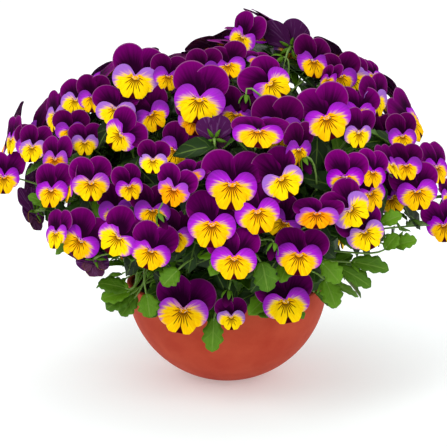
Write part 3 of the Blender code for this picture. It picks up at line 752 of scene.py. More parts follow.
    def fill_gaps(self) -> None:
        """Sets small blooms deeper in the mound where the front view would see between the others."""
        random = np.random.default_rng(19)
        shifts = [shift for shift in self.shifts if shift > -8 * MM]
        corners = ((0, 0), (-1, -1), (1, -1), (-1, 1), (1, 1))
        added = 0
        for row in range(*self.gap_rows, self.gap_step):
            for column in range(*self.gap_columns, self.gap_step):
                spread = self.gap_spread
                places = [(column + spread * x, row + spread * y) for x, y in corners]
                low_enough = row >= self.skyline(column) + self.gap_below_skyline
                if not low_enough or any(self.space.blocks(*place) for place in places):
                    continue
                yaw, roll = random.uniform(-0.5, 0.5), random.uniform(-35, 35)
                ray = VIEW.sight(column, row + self.gap_throat_below)
                point = MOUND.met(column, row + self.gap_throat_below) + ray * self.gap_depth
                side = unit(np.cross(ray, VIEW.upward))
                axes = facing_axes(unit(side * yaw - ray), np.cross(side, ray), roll)
                # The darkest tone, D, gives these blooms painted shade on their upper petals and backs.
                bloom = Bloom(point, axes, self.gap_width * VIEW.pixel / self.full_width, 2, D)
                if added < self.gap_most and self.behind_skyline(bloom.plain()[0]):
                    added += self.settle_one(bloom, ray, None, shifts)

    def soil_top(self, radius: float) -> float:
        """The soil's height this far from the axis."""
        crown = self.soil_crown * (1 - (radius / self.soil_edge) ** 2)
        return VIEW.rim_height - self.soil_below_rim + crown

    def stem_bends(self, k: int, reach: float) -> tuple:
        """The stem of a shoot: straight up out of the soil, then out to its part of the mound.

        Args:
            k: The shoot's number.
            reach: How far it goes.

        Returns:
            The foot in the soil and the four points of the Bezier curve above it.
        """
        share = math.sqrt((k + 0.5) / self.shoot_count)
        azimuth = k * GOLDEN_ANGLE + 0.4
        outward = np.array([math.cos(azimuth), math.sin(azimuth), 0])
        foot = outward * self.crown_radius * share
        foot[2] = self.soil_top(self.crown_radius * share) - self.stem_in_soil
        leave = foot + [0, 0, self.stem_in_soil + 5 * MM]
        lean = math.radians(8 + 62 * share)
        tip = leave + (outward * math.sin(lean) + [0, 0, math.cos(lean)]) * reach
        bend = leave + [0, 0, 34 * MM] + outward * 6 * MM
        return foot, leave, leave + [0, 0, 14 * MM], bend, tip

    def grown_shoots(self) -> list[Shoot]:
        """The shoots' bare stems, each as long as the blooms leave room for."""
        shoots, stems = [], []
        for k in range(self.shoot_count):
            for reach in np.arange(105, 50, -6) * MM:
                foot, *bends = self.stem_bends(k, reach)
                stem = np.vstack([foot, curve(*bends, 5)])
                radii = np.linspace(1, 0.6, len(stem)) * self.stem_radius
                if not self.room.touched(*tube(stem, radii + self.clearance, 4)):
                    break
            shoots.append(Shoot(f"shoot_{k + 1:02d}", stem, (foot, *bends)))
            stems.append(tube(stem, radii, 4))
        for shoot, stem in zip(shoots, stems):
            self.room.add(shoot.own, *stem)
        return shoots

    def grow_stalk(
        self,
        shoot: Shoot,
        start: Points,
        leave: Points,
        end_radius: float,
        own: Room,
        skip: set,
        random: np.random.Generator,
    ) -> Stalk | None:
        """Finds a stalk that reaches the shoot's stem round all else.

        Args:
            shoot: The shoot that carries it.
            start: Where it begins, at the bloom or the leaf.
            leave: The unit vector that it leaves along.
            end_radius: Its radius there.
            own: What it may not cross though it is skipped.
            skip: Groups that it may cross.
            random: Where the tries are drawn from.

        Returns:
            The stalk, or None where there is no room.
        """
        for attempt in range(self.stalk_tries):
            foot = shoot.point(random.uniform(0.03, 0.99))
            loose = random.uniform(-1, 1, (2, 3)) * MM * (4 + attempt * 0.7)
            near = start + leave * (14 + attempt * 0.2) * MM + loose[0] * 0.5
            far = foot + (start - foot) * 0.35 + [0, 0, 8 * MM] + loose[1]
            points = curve(start, near, far, foot, 4)
            radii = np.array([end_radius, self.stalk_radius, self.stalk_radius, 0.5 * MM])
            solid = tube(points, radii, 3, leave)
            wide = tube(points, radii + self.clearance, 3, leave)
            if not self.room.touched(*wide, skip) and not own.touched(*solid):
                self.room.add(shoot.name, *solid)
                return Stalk((start, near, far, foot), leave, end_radius)
        return None

    def carry_blooms(self) -> None:
        """Gives each bloom its stalk from the shoot that points towards it."""
        random = np.random.default_rng(13)
        for bloom in self.blooms:
            behind = self.calyx_behind + (bloom.UPPER_STEP if bloom.blades == 5 else 0)
            back = bloom.throat + bloom.axes @ np.array([0, self.calyx_above, -behind])
            own = Room()
            own.add(0, *bloom.plain())
            for shoot in self.nearest_shoots(bloom.throat):
                skip = {shoot.own, id(bloom)}
                stalk = self.grow_stalk(
                    shoot, back, -bloom.axes[:, 2], self.calyx_radius, own, skip, random
                )
                if stalk:
                    shoot.stalks.append(stalk)
                    break

    def nearest_shoots(self, point: Points, lowest: int = 3) -> list[Shoot]:
        """The shoots in order of how near their stem is, from its lowest point that counts."""
        return sorted(self.shoots, key=lambda s: np.linalg.norm(s.stem[lowest:] - point, axis=1).min())

    def add_buds(self) -> None:
        """Closed buds on stalks of their own, each slid along its line of sight until it is clear."""
        random = np.random.default_rng(13)
        radii = np.array(self.bud_radii)
        for (column, row), (right, below) in self.BUDS:
            ahead = np.array([1.0, 0, 0]) * right - VIEW.upward * below - VIEW.forward * 0.3 * abs(below)
            axis = unit(ahead)
            ray = VIEW.sight(column, row)
            for shift in self.shifts:
                base = MOUND.met(column, row) + ray * shift
                points = base + axis * np.array([0, 0.35, 0.75, 1])[:, None] * self.bud_length
                if not self.room.touched(*tube(points, radii + self.clearance, 5)):
                    break
            for shoot in self.nearest_shoots(base):
                start = base + axis * self.bud_in_stalk
                stalk = self.grow_stalk(
                    shoot, start, -axis, self.stalk_radius, Room(), {shoot.own}, random
                )
                if stalk:
                    self.room.add(shoot.name, *tube(points, radii, 5))
                    shoot.buds.append((base, axis, stalk))
                    break

    def add_leaf(self, leaf: Leaf, random: np.random.Generator) -> None:
        """Puts a leaf on a petiole from the nearest shoot, where there is room for both.

        Args:
            leaf: The leaf.
            random: Where the petiole's tries are drawn from.
        """
        blade = leaf.plain()
        inward = unit(leaf.base - leaf.tip)
        for shoot in self.nearest_shoots(leaf.base, 2)[:3]:
            if self.room.touched(*blade, {shoot.own}):
                continue
            start = leaf.base - inward * 3 * MM
            petiole = self.grow_stalk(shoot, start, inward, 0.9 * MM, Room(), {shoot.own}, random)
            if petiole:
                shoot.petioles.append(petiole)
                shoot.leaves.append(leaf)
                self.room.add(shoot.name, *blade)
                return

    def front_leaves(self) -> None:
        """The listed leaves."""
        random = np.random.default_rng(5)
        for base, tip, width in self.FRONT_LEAVES:
            base = MOUND.met(*base) + VIEW.forward * 10 * MM
            tip = VIEW.eye + VIEW.sight(*tip) * (np.linalg.norm(base - VIEW.eye) - 2 * MM)
            normal = unit(-VIEW.forward + VIEW.upward * 0.5)
            self.add_leaf(Leaf(base, tip, width * VIEW.pixel, normal), random)

    def inner_leaves(self) -> None:
        """Leaves round each stem, turned by the golden angle from one to the next."""
        random = np.random.default_rng(3)
        for k, shoot in enumerate(self.shoots):
            for j in range(self.leaves_per_shoot):
                node = shoot.point((j + random.uniform(0.2, 0.8)) / self.leaves_per_shoot - 0.2)
                azimuth = (k * self.leaves_per_shoot + j) * GOLDEN_ANGLE
                for attempt in range(8):
                    turn = azimuth + attempt * 0.8
                    outward = np.array([math.cos(turn), math.sin(turn), 0.5 - 0.1 * attempt])
                    start = node + unit(outward) * 0.7 * MM
                    tip = start + unit(outward) * self.leaf_length * random.uniform(0.85, 1.25)
                    leaf = Leaf(start, tip, self.leaf_width, np.array([0, 0, 1.0]))
                    blade = leaf.plain()
                    if not self.room.touched(*blade, {shoot.own}):
                        shoot.leaves.append(leaf)
                        self.room.add(shoot.name, *blade)
                        break


# Finishes


def linear(code: str) -> tuple:
    """An sRGB hex colour such as #7A1080 as linear red, green, blue and an alpha of 1."""
    shares = [int(code[i : i + 2], 16) / 255 for i in (1, 3, 5)]
    bent = [s / 12.92 if s <= 0.04045 else ((s + 0.055) / 1.055) ** 2.4 for s in shares]
    return (*bent, 1.0)


class Paint:
    """A material in the making, whose nodes are all added by one method."""

    # For a kind of node, its properties and the output wanted, where a call gives no others.
    USUAL = {"Mix": ({"data_type": "RGBA"}, 2)}

    def __init__(self, name: str, **constants: object) -> None:
        """Starts the material.

        Args:
            name: Its name.
            **constants: Values for the shader's own sockets, their names with _ for a space.
        """
        self.made = bpy.data.materials.new(name)
        self.made.use_nodes = True
        self.tree = self.made.node_tree
        self.shader = self.tree.nodes["Principled BSDF"]
        for key, value in constants.items():
            self.shader.inputs[key.replace("_", " ")].default_value = value

    def add(
        self, kind: str, values: dict | None = None, out: int | str | None = None, **settings: object
    ) -> bpy.types.NodeSocket:
        """Adds a node with its settings and links.

        Args:
            kind: The node's type, without the word that all start with.
            values: For each input, a number, a hex colour or the socket that feeds it.
            out: The output wanted, the first unless USUAL names another.
            **settings: The node's own properties.

        Returns:
            That output.
        """
        usual, usual_out = self.USUAL.get(kind, ({}, 0))
        node = self.tree.nodes.new("ShaderNode" + kind)
        for name, value in (usual | settings).items():
            setattr(node, name, value)
        for key, value in (values or {}).items():
            if isinstance(value, bpy.types.NodeSocket):
                self.tree.links.new(value, node.inputs[key])
            else:
                node.inputs[key].default_value = linear(value) if isinstance(value, str) else value
        return node.outputs[usual_out if out is None else out]

    def finish(
        self, colour: bpy.types.NodeSocket, relief: bpy.types.NodeSocket | None = None,
        strength: float = 0.0, depth_mm: float = 0.4,
    ) -> bpy.types.Material:
        """Gives the shader its colour and fine relief.

        Args:
            colour: The colour.
            relief: The height that the relief follows.
            strength: The relief's strength.
            depth_mm: How deep it is.

        Returns:
            The material.
        """
        self.tree.links.new(colour, self.shader.inputs["Base Color"])
        if relief is not None:
            bump = self.add("Bump", {"Height": relief, "Strength": strength, "Distance": depth_mm * MM})
            self.tree.links.new(bump, self.shader.inputs["Normal"])
        return self.made


SOFT = {"interpolation_type": "SMOOTHSTEP"}


@dataclass(frozen=True)
class PetalTissue:
    """What the three petal finishes share: a soft cell surface, thin streaks and a dull veined back.

    Petals are matte: each cell of their skin is a tiny cone that traps light, so the colour is deep
    and there is next to no highlight.
    """

    lemon: str = "#FFD808"
    orange: str = "#E87C02"
    cream: str = "#D096B8"
    apricot: str = "#C06E50"
    lavender: str = "#9C74C6"
    violet: str = "#A60EC6"
    deep_violet: str = "#70088C"
    pale_vein: str = "#8A5E92"
    # Painted shade: the dark back of blooms with a high dusk value.
    back_in_shade: str = "#4A164E"
    roughness: float = 0.8
    gloss: float = 0.02
    streak_fan: float = 11.0
    streak_along: float = 1.1
    grain_mm: float = 1.6

    def start(self, name: str) -> tuple[Paint, dict]:
        """Starts a petal's material.

        Args:
            name: Its name.

        Returns:
            It, and the sockets of what each point of a petal's mesh carries: x and y in mm on a
            bloom 40 mm wide, side (x without its sign), back (1 behind), along the petal, the four
            tone values, streaks from the throat and fine grain.
        """
        paint = Paint(name, Roughness=self.roughness, Specular_IOR_Level=self.gloss)
        add = paint.add
        place = add("Attribute", out="Vector", attribute_name="place")
        reach = add("Attribute", out="Vector", attribute_name="reach")
        mood = add("Attribute", out="Color", attribute_name="mood")
        x = add("SeparateXYZ", {0: place})
        y, back = x.node.outputs["Y"], x.node.outputs["Z"]
        along = add("SeparateXYZ", {0: reach}, "Y")
        gold = add("SeparateColor", {0: mood})
        side = add("Math", {0: x}, operation="ABSOLUTE")
        angle = add("Math", {0: side, 1: y}, operation="ARCTAN2")
        spread = add("Math", {0: angle, 1: self.streak_fan}, operation="MULTIPLY")
        slow = add("Math", {0: along, 1: self.streak_along}, operation="MULTIPLY")
        fan = add("CombineXYZ", {0: spread, 1: slow, 2: along.node.outputs["Z"]})
        spot = add("VectorMath", {0: place, 1: reach}, operation="ADD")
        return paint, {
            "y": y,
            "side": side,
            "back": back,
            "along": along,
            "gold": gold,
            "violet": gold.node.outputs[1],
            "dusk_and_shade": gold.node.outputs[2],
            "blush": mood.node.outputs["Alpha"],
            "streaks": add("TexNoise", {"Vector": fan, "Scale": 1.0, "Detail": 3.0}),
            "grain": add("TexNoise", {"Vector": spot, "Scale": 1 / self.grain_mm, "Detail": 2.0}),
        }

    def measure(self, paint: Paint, read: dict, rise: float) -> None:
        """Adds to the readings how far from the throat a point is in mm, and its turn from straight down.

        Args:
            paint: The material.
            read: The readings.
            rise: How far the throat lies above the origin, in mm.
        """
        down = paint.add("Math", {0: rise, 1: read["y"]}, operation="SUBTRACT")
        flat = paint.add("CombineXYZ", {0: read["side"], 1: down})
        read["turn"] = paint.add("Math", {0: read["side"], 1: down}, operation="ARCTAN2")
        read["far"] = paint.add("VectorMath", {0: flat}, "Value", operation="LENGTH")

    def yellow(self, paint: Paint, read: dict, near: bpy.types.NodeSocket) -> bpy.types.NodeSocket:
        """The yellow of a petal, from lemon to orange, deeper near the throat.

        Args:
            paint: The material.
            read: The readings.
            near: 1 at the throat.

        Returns:
            The colour.
        """
        add = paint.add
        amount = add("Math", {0: near, 1: 0.3, 2: read["gold"]}, operation="MULTIPLY_ADD")
        mottled = add("Math", {0: read["streaks"], 1: 1.5, 2: -0.76}, operation="MULTIPLY_ADD")
        share = add("Math", {0: amount, 1: mottled}, operation="ADD", use_clamp=True)
        return add("Mix", {0: share, 6: self.lemon, 7: self.orange})

    def close(self, paint: Paint, read: dict, front: object, behind: object) -> bpy.types.Material:
        """Ends a petal's material with its veined back and its fine relief.

        Args:
            paint: The material.
            read: The readings.
            front: The front's colour.
            behind: The back's colour, before its veins.

        Returns:
            The material.
        """
        add = paint.add
        ridge = {"Value": read["streaks"], "From Min": 0.54, "From Max": 0.62, "To Max": 0.3}
        veins = add("MapRange", ridge, **SOFT)
        veined = add("Mix", {0: veins, 6: behind, 7: self.pale_vein})
        relief = add("Math", {0: read["streaks"], 1: read["grain"]}, operation="ADD")
        return paint.finish(add("Mix", {0: read["back"], 6: front, 7: veined}), relief, 0.2)


@dataclass(frozen=True)
class UpperPetal(PetalTissue):
    """Velvet of the two upper petals: nearly black at the heart, magenta near a thin pale rim.

    Night and plum are a darker copy of heart and magenta that a bloom's dusk mixes in: partly
    its own darker velvet and partly painted shade.
    """

    heart: str = "#260024"
    magenta: str = "#84007A"
    # Painted shade, partly the bloom's own darker velvet: the darker copy of heart and magenta.
    night: str = "#1E001A"
    plum: str = "#5C004E"
    rim: str = "#A86A98"
    dull: str = "#4E1A50"

    def make(self) -> bpy.types.Material:
        """Makes the material."""
        paint, read = self.start("velvet_upper_petal")
        add = paint.add
        wobble = add("Math", {0: read["streaks"], 1: 0.4, 2: -0.2}, operation="MULTIPLY_ADD")
        height = add("Math", {0: read["along"], 1: wobble}, operation="ADD")
        out = add("MapRange", {"Value": height, "From Min": 0.45, "From Max": 1.1}, **SOFT)
        warm = add("Mix", {0: out, 6: self.heart, 7: self.magenta})
        # A bloom's dusk mixes in the darker copy: painted shade, partly its own darker velvet.
        dark = add("Mix", {0: out, 6: self.night, 7: self.plum})
        skin = add("Mix", {0: read["dusk_and_shade"], 6: warm, 7: dark})
        last = {"Value": read["along"], "From Min": 0.965, "From Max": 0.995, "To Max": 0.5}
        front = add("Mix", {0: add("MapRange", last, **SOFT), 6: skin, 7: self.rim})
        return self.close(paint, read, front, self.dull)


@dataclass(frozen=True)
class SidePetal(PetalTissue):
    """Skin of the side petals: a yellow heart that streaks through cream into a violet rim.

    The heart is an ellipse, its centre and half sizes in mm on a bloom 40 mm wide.
    """

    heart: tuple = (7.2, -5.0)
    heart_size: tuple = (9.0, 9.4)
    rise: float = 1.0
    whisker: str = "#42100A"
    dull: str = "#6A3A7C"

    def make(self) -> bpy.types.Material:
        """Makes the material."""
        paint, read = self.start("side_petal_skin")
        add = paint.add
        self.measure(paint, read, self.rise)
        near = add("MapRange", {"Value": read["far"], "From Min": 8.0, "From Max": 1.0})
        yellow = self.yellow(paint, read, near)
        aside = add("Math", {0: read["side"], 1: self.heart[0]}, operation="SUBTRACT")
        above = add("Math", {0: read["y"], 1: self.heart[1]}, operation="SUBTRACT")
        flat = add("CombineXYZ", {0: aside, 1: above})
        half = (1 / self.heart_size[0], 1 / self.heart_size[1], 0)
        scaled = add("VectorMath", {0: flat, 1: half}, operation="MULTIPLY")
        out = add("VectorMath", {0: scaled}, "Value", operation="LENGTH")
        size = add("Math", {0: read["blush"], 1: -0.55, 2: 1.3}, operation="MULTIPLY_ADD")
        share = add("Math", {0: out, 1: size}, operation="DIVIDE")
        rough = add("Math", {0: read["streaks"], 1: 0.9, 2: share}, operation="MULTIPLY_ADD")
        to_cream, to_violet, edge = (
            add("MapRange", {"Value": rough, "From Min": first, "From Max": last, "To Max": most}, **SOFT)
            for first, last, most in ((1.02, 1.3, 0.85), (1.14, 1.5, 1.0), (1.4, 2.2, 0.9))
        )
        pale = add("Mix", {0: read["gold"], 6: self.cream, 7: self.apricot})
        cream = add("Mix", {0: to_cream, 6: yellow, 7: pale})
        strong = add("Mix", {0: edge, 6: self.violet, 7: self.deep_violet})
        hue = add("Mix", {0: read["violet"], 6: self.lavender, 7: strong})
        skin = add("Mix", {0: to_violet, 6: cream, 7: hue})
        front = Whiskers(0.24, 2.6, 14.0, 2.9).draw(paint, read, skin, self.whisker)
        dull = add("Mix", {0: to_violet, 6: yellow, 7: self.dull})
        # Painted shade: the back darkens as far as the bloom's dusk goes.
        return self.close(paint, read, front, add("Mix", {0: read["dusk_and_shade"], 6: dull, 7: self.back_in_shade}))


@dataclass(frozen=True)
class LowerPetal(PetalTissue):
    """Skin of the lip: bright yellow, orange at the throat, brown whiskers, a maroon wedge."""

    rise: float = 2.0
    whisker: str = "#481404"
    maroon: str = "#3C0010"
    dull: str = "#C8961E"
    wedge_top: float = -10.0
    wedge_slope: float = 0.5

    def make(self) -> bpy.types.Material:
        """Makes the material."""
        paint, read = self.start("lip_skin")
        add = paint.add
        self.measure(paint, read, self.rise)
        near = add("MapRange", {"Value": read["far"], "From Min": 10.0, "From Max": 2.5, "To Max": 1.4})
        yellow = self.yellow(paint, read, near)
        lined = Whiskers(0.21, 2.8, 17.0, 1.9).draw(paint, read, yellow, self.whisker)
        drop = add("Math", {0: self.wedge_top, 1: read["y"]}, operation="SUBTRACT")
        inside = add("Math", {0: drop, 1: self.wedge_slope}, operation="MULTIPLY")
        margin = add("Math", {0: inside, 1: read["side"]}, operation="SUBTRACT")
        wedge = add("MapRange", {"Value": margin, "From Min": -0.2, "From Max": 0.3})
        front = add("Mix", {0: wedge, 6: lined, 7: self.maroon})
        # Painted shade: the lip's back darkens as far as the bloom's dusk goes.
        behind = add("Mix", {0: read["dusk_and_shade"], 6: self.dull, 7: self.back_in_shade})
        return self.close(paint, read, front, behind)


@dataclass(frozen=True)
class Whiskers:
    """Dark lines that fan out from the throat. Real ones are 0.2 mm wide, and these are drawn at
    0.45 mm, as coarse as the picture needs to show them. Those at the sides are shorter.

    They are a turn apart, run from start to end in mm, and fade out at the turn of the fan's edge.
    """

    apart: float
    start: float
    end: float
    fan: float
    half_width: float = 0.22
    blur: float = 2.2
    shorter: float = 0.25

    def draw(self, paint: Paint, read: dict, skin: object, colour: str) -> bpy.types.NodeSocket:
        """Draws the lines over a skin.

        Args:
            paint: The material.
            read: The readings, with those of measure.
            skin: The colour beneath.
            colour: The lines' colour.

        Returns:
            The colour with its lines.
        """
        add = paint.add
        steps = add("Math", {0: read["turn"], 1: self.apart}, operation="DIVIDE")
        nearest = add("Math", {0: steps}, operation="ROUND")
        apart = add("Math", {0: steps, 1: nearest}, operation="SUBTRACT")
        gap = add("Math", {0: apart}, operation="ABSOLUTE")
        wide = add("Math", {0: gap, 1: read["far"]}, operation="MULTIPLY")
        aside = add("Math", {0: wide, 1: self.apart}, operation="MULTIPLY")
        ends = {"From Min": self.half_width, "From Max": self.half_width * self.blur}
        line = add("MapRange", {"Value": aside, **ends, "To Min": 0.95, "To Max": 0.0})
        odd = add("Math", {0: nearest, 1: 2.0}, operation="MODULO")
        ends = {"From Max": self.fan, "To Min": self.end, "To Max": self.start}
        longest = add("MapRange", {"Value": read["turn"], **ends})
        cut = -self.shorter * self.end
        reach = add("Math", {0: odd, 1: cut, 2: longest}, operation="MULTIPLY_ADD")
        left = add("Math", {0: reach, 1: read["far"]}, operation="SUBTRACT")
        fade = add("MapRange", {"Value": left, "From Max": 2.0})
        begun = add("Math", {0: read["far"], 1: self.start}, operation="GREATER_THAN")
        within = add("Math", {0: begun, 1: fade}, operation="MULTIPLY")
        mask = add("Math", {0: line, 1: within}, operation="MULTIPLY")
        return add("Mix", {0: mask, 6: skin, 7: colour})


@dataclass(frozen=True)
class LeafSkin:
    """Waxy leaf skin: mid green with a paler rib and side veins, smoother and darker on top.

    Leaves deep under the blooms take painted shade, near black, on both sides.
    """

    young: str = "#5E8E10"
    mature: str = "#244A08"
    # Painted shade: near black, for leaves deep under the blooms.
    shaded: str = "#0E1C06"
    rib: str = "#7A9C3A"
    under: str = "#4E6E22"
    roughness: float = 0.55
    gloss: float = 0.2
    side_veins: float = 5.0
    vein_slant: float = -0.35

    def make(self) -> bpy.types.Material:
        """Makes the material."""
        paint = Paint("leaf_skin", Roughness=self.roughness, Specular_IOR_Level=self.gloss)
        add = paint.add
        place = add("Attribute", out="Vector", attribute_name="reach")
        mood = add("Attribute", out="Color", attribute_name="mood")
        across = add("SeparateXYZ", {0: place})
        age = add("SeparateColor", {0: mood})
        back, deep = age.node.outputs[1], age.node.outputs[2]
        cells = add("TexNoise", {"Vector": place, "Scale": 6.0, "Detail": 4.0})
        blotch = add("Math", {0: cells, 1: 0.5, 2: -0.25}, operation="MULTIPLY_ADD")
        shade = add("Math", {0: age, 1: blotch}, operation="ADD", use_clamp=True)
        lit = add("Mix", {0: shade, 6: self.young, 7: self.mature})
        # Painted shade: leaves whose age passes 1 go to near black on top.
        skin = add("Mix", {0: deep, 6: lit, 7: self.shaded})
        side = add("Math", {0: across}, operation="ABSOLUTE")
        along = {0: side, 1: self.vein_slant, 2: across.node.outputs["Y"]}
        slant = add("Math", along, operation="MULTIPLY_ADD")
        count = add("Math", {0: slant, 1: self.side_veins}, operation="MULTIPLY")
        wave = add("Math", {0: count, 1: 1.0}, operation="PINGPONG")
        ribs = {"Value": side, "From Min": 0.03, "From Max": 0.1, "To Min": 0.45, "To Max": 0.0}
        sides = {"Value": wave, "From Min": 0.02, "From Max": 0.16, "To Min": 0.2, "To Max": 0.0}
        rib, vein = add("MapRange", ribs), add("MapRange", sides)
        veins = add("Math", {0: rib, 1: vein}, operation="MAXIMUM")
        top = add("Mix", {0: veins, 6: skin, 7: self.rib})
        # Painted shade: the same leaves go to near black beneath too.
        beneath = add("Mix", {0: deep, 6: self.under, 7: self.shaded})
        relief = add("Math", {0: cells, 1: veins}, operation="SUBTRACT")
        return paint.finish(add("Mix", {0: back, 6: top, 7: beneath}), relief, 0.5)


@dataclass(frozen=True)
class StalkSkin:
    """Smooth juicy stalk: light green, with fine darker lines along it."""

    pale: str = "#8DB04E"
    green: str = "#4F7A2A"
    roughness: float = 0.45
    stretch: tuple = (9.0, 2.0, 1.0)

    def make(self) -> bpy.types.Material:
        """Makes the material."""
        paint = Paint("stalk_skin", Roughness=self.roughness)
        place = paint.add("Attribute", out="Vector", attribute_name="reach")
        stretched = paint.add("VectorMath", {0: place, 1: self.stretch}, operation="MULTIPLY")
        lines = paint.add("TexNoise", {"Vector": stretched, "Scale": 1.0, "Detail": 2.0})
        return paint.finish(paint.add("Mix", {0: lines, 6: self.pale, 7: self.green}), lines, 0.3, 0.3)


@dataclass(frozen=True)
class BeardHair:
    """Translucent white hairs at the throat, which catch the light."""

    white: str = "#F6F0DC"
    warm: str = "#FFE9A0"

    def make(self) -> bpy.types.Material:
        """Makes the material."""
        paint = Paint("beard_hair", Roughness=0.5, Sheen_Weight=0.3)
        place = paint.add("Attribute", out="Vector", attribute_name="reach")
        along = paint.add("SeparateXYZ", {0: place}, "Y")
        return paint.finish(paint.add("Mix", {0: along, 6: self.warm, 7: self.white}))


@dataclass(frozen=True)
class FiredClay:
    """Terracotta, thrown on a wheel and fired unglazed: matte, faintly mottled, turned rings."""

    body: str = "#AE361C"
    light: str = "#BA462A"
    dark: str = "#942C16"
    grit_mm: float = 0.6
    mottle_mm: float = 22.0
    ring_mm: float = 2.4
    ring_depth: float = 0.35
    roughness: float = 0.78
    gloss: float = 0.3

    def make(self) -> bpy.types.Material:
        """Makes the material."""
        paint = Paint("fired_clay", Roughness=self.roughness, Specular_IOR_Level=self.gloss)
        add = paint.add
        place = add("TexCoord", out="Object")
        mottle = add("TexNoise", {"Vector": place, "Scale": 1 / (self.mottle_mm * MM), "Detail": 4.0})
        soft = add("MapRange", {"Value": mottle, "From Min": 0.35, "From Max": 0.7})
        base = add("Mix", {0: soft, 6: self.body, 7: self.light})
        grit = add("TexNoise", {"Vector": place, "Scale": 1 / (self.grit_mm * MM), "Detail": 2.0})
        specks = add("MapRange", {"Value": grit, "From Min": 0.6, "From Max": 0.8, "To Max": 0.5})
        scale = 1 / (self.ring_mm * MM * math.tau)
        turns = {"Vector": place, "Scale": scale, "Distortion": 1.5, "Detail": 2.0}
        turned_rings = add("TexWave", turns, wave_type="BANDS", bands_direction="Z")
        relief = {0: turned_rings, 1: self.ring_depth, 2: grit}
        relief = add("Math", relief, operation="MULTIPLY_ADD")
        return paint.finish(add("Mix", {0: specks, 6: base, 7: self.dark}), relief, 0.12)


@dataclass(frozen=True)
class PottingSoil:
    """Damp peat and bark: nearly black brown crumbs with a few lighter fibres."""

    peat: str = "#1C120B"
    crumb: str = "#3B281A"
    fibre: str = "#6E5236"
    crumb_mm: float = 3.0
    roughness: float = 0.92

    def make(self) -> bpy.types.Material:
        """Makes the material."""
        paint = Paint("potting_soil", Roughness=self.roughness)
        add = paint.add
        place = add("TexCoord", out="Object")
        crumbs = add("TexVoronoi", {"Vector": place, "Scale": 1 / (self.crumb_mm * MM)}, feature="F1")
        colour = add("Mix", {0: crumbs, 6: self.crumb, 7: self.peat})
        fine = add("TexNoise", {"Vector": place, "Scale": 2 / (self.crumb_mm * MM), "Detail": 4.0})
        bits = add("MapRange", {"Value": fine, "From Min": 0.62, "From Max": 0.7})
        relief = add("Math", {0: fine, 1: crumbs}, operation="SUBTRACT")
        return paint.finish(add("Mix", {0: bits, 6: colour, 7: self.fibre}), relief, 0.8, 1.5)


class Finish(Enum):
    """The finishes, in the order of a piece's material slots."""

    UPPER = UpperPetal()
    SIDE = SidePetal()
    LIP = LowerPetal()
    BEARD = BeardHair()
    LEAF = LeafSkin()
    STALK = StalkSkin()
    CLAY = FiredClay()
    SOIL = PottingSoil()


# Meshes


@dataclass
class Weave:
    """A mesh that is gathered from parts, with what its finish reads at each point."""

    name: str
    finishes: tuple[Finish, ...]
    points: list = field(default_factory=list)
    corners: list = field(default_factory=list)
    sizes: list = field(default_factory=list)
    slots: list = field(default_factory=list)
    place: list = field(default_factory=list)
    reach: list = field(default_factory=list)
    mood: list = field(default_factory=list)
    count: int = 0

    def add(
        self, finish: Finish, points: Points, faces: Points,
        place: Points | float = 0.0, reach: Points | float = 0.0, mood: Points | float = 0.0,
    ) -> None:
        """Adds a part.

        Args:
            finish: Its finish.
            points: Its points.
            faces: Its faces, as rows of corner numbers, all of one length.
            place: For each point, three numbers that the finish reads as its place.
            reach: For each point, three numbers: across, along and chance.
            mood: For each point, four numbers of its tone.
        """
        n = len(points)
        self.points.append(points)
        self.corners.append((np.asarray(faces) + self.count).ravel())
        self.sizes.append(np.full(len(faces), np.shape(faces)[1]))
        self.slots.append(np.full(len(faces), self.finishes.index(finish)))
        self.place.append(np.broadcast_to(place, (n, 3)))
        self.reach.append(np.broadcast_to(reach, (n, 3)))
        self.mood.append(np.broadcast_to(mood, (n, 4)))
        self.count += n

    def build(self, materials: dict[Finish, bpy.types.Material]) -> bpy.types.Object:
        """Makes the object.

        Args:
            materials: The material of each finish.

        Returns:
            The object, smooth shaded, in the scene.
        """
        mesh = bpy.data.meshes.new(self.name)
        points = np.clip(np.vstack(self.points), *cad_box)
        corners, sizes = np.concatenate(self.corners), np.concatenate(self.sizes)
        mesh.vertices.add(len(points))
        mesh.vertices.foreach_set("co", points.astype(np.float32).ravel())
        mesh.loops.add(len(corners))
        mesh.loops.foreach_set("vertex_index", corners.astype(np.int32))
        mesh.polygons.add(len(sizes))
        mesh.polygons.foreach_set("loop_start", (np.cumsum(sizes) - sizes).astype(np.int32))
        mesh.polygons.foreach_set("material_index", np.concatenate(self.slots).astype(np.int32))
        mesh.polygons.foreach_set("use_smooth", np.ones(len(sizes), bool))
        for name, kind, key, values in (
            ("place", "FLOAT_VECTOR", "vector", self.place),
            ("reach", "FLOAT_VECTOR", "vector", self.reach),
            ("mood", "FLOAT_COLOR", "color", self.mood),
        ):
            layer = mesh.attributes.new(name, kind, "POINT")
            layer.data.foreach_set(key, np.vstack(values).astype(np.float32).ravel())
        for finish in self.finishes:
            mesh.materials.append(materials[finish])
        mesh.update(calc_edges=True)
        mesh.validate()
        made = bpy.data.objects.new(self.name, mesh)
        bpy.context.scene.collection.objects.link(made)
        return made


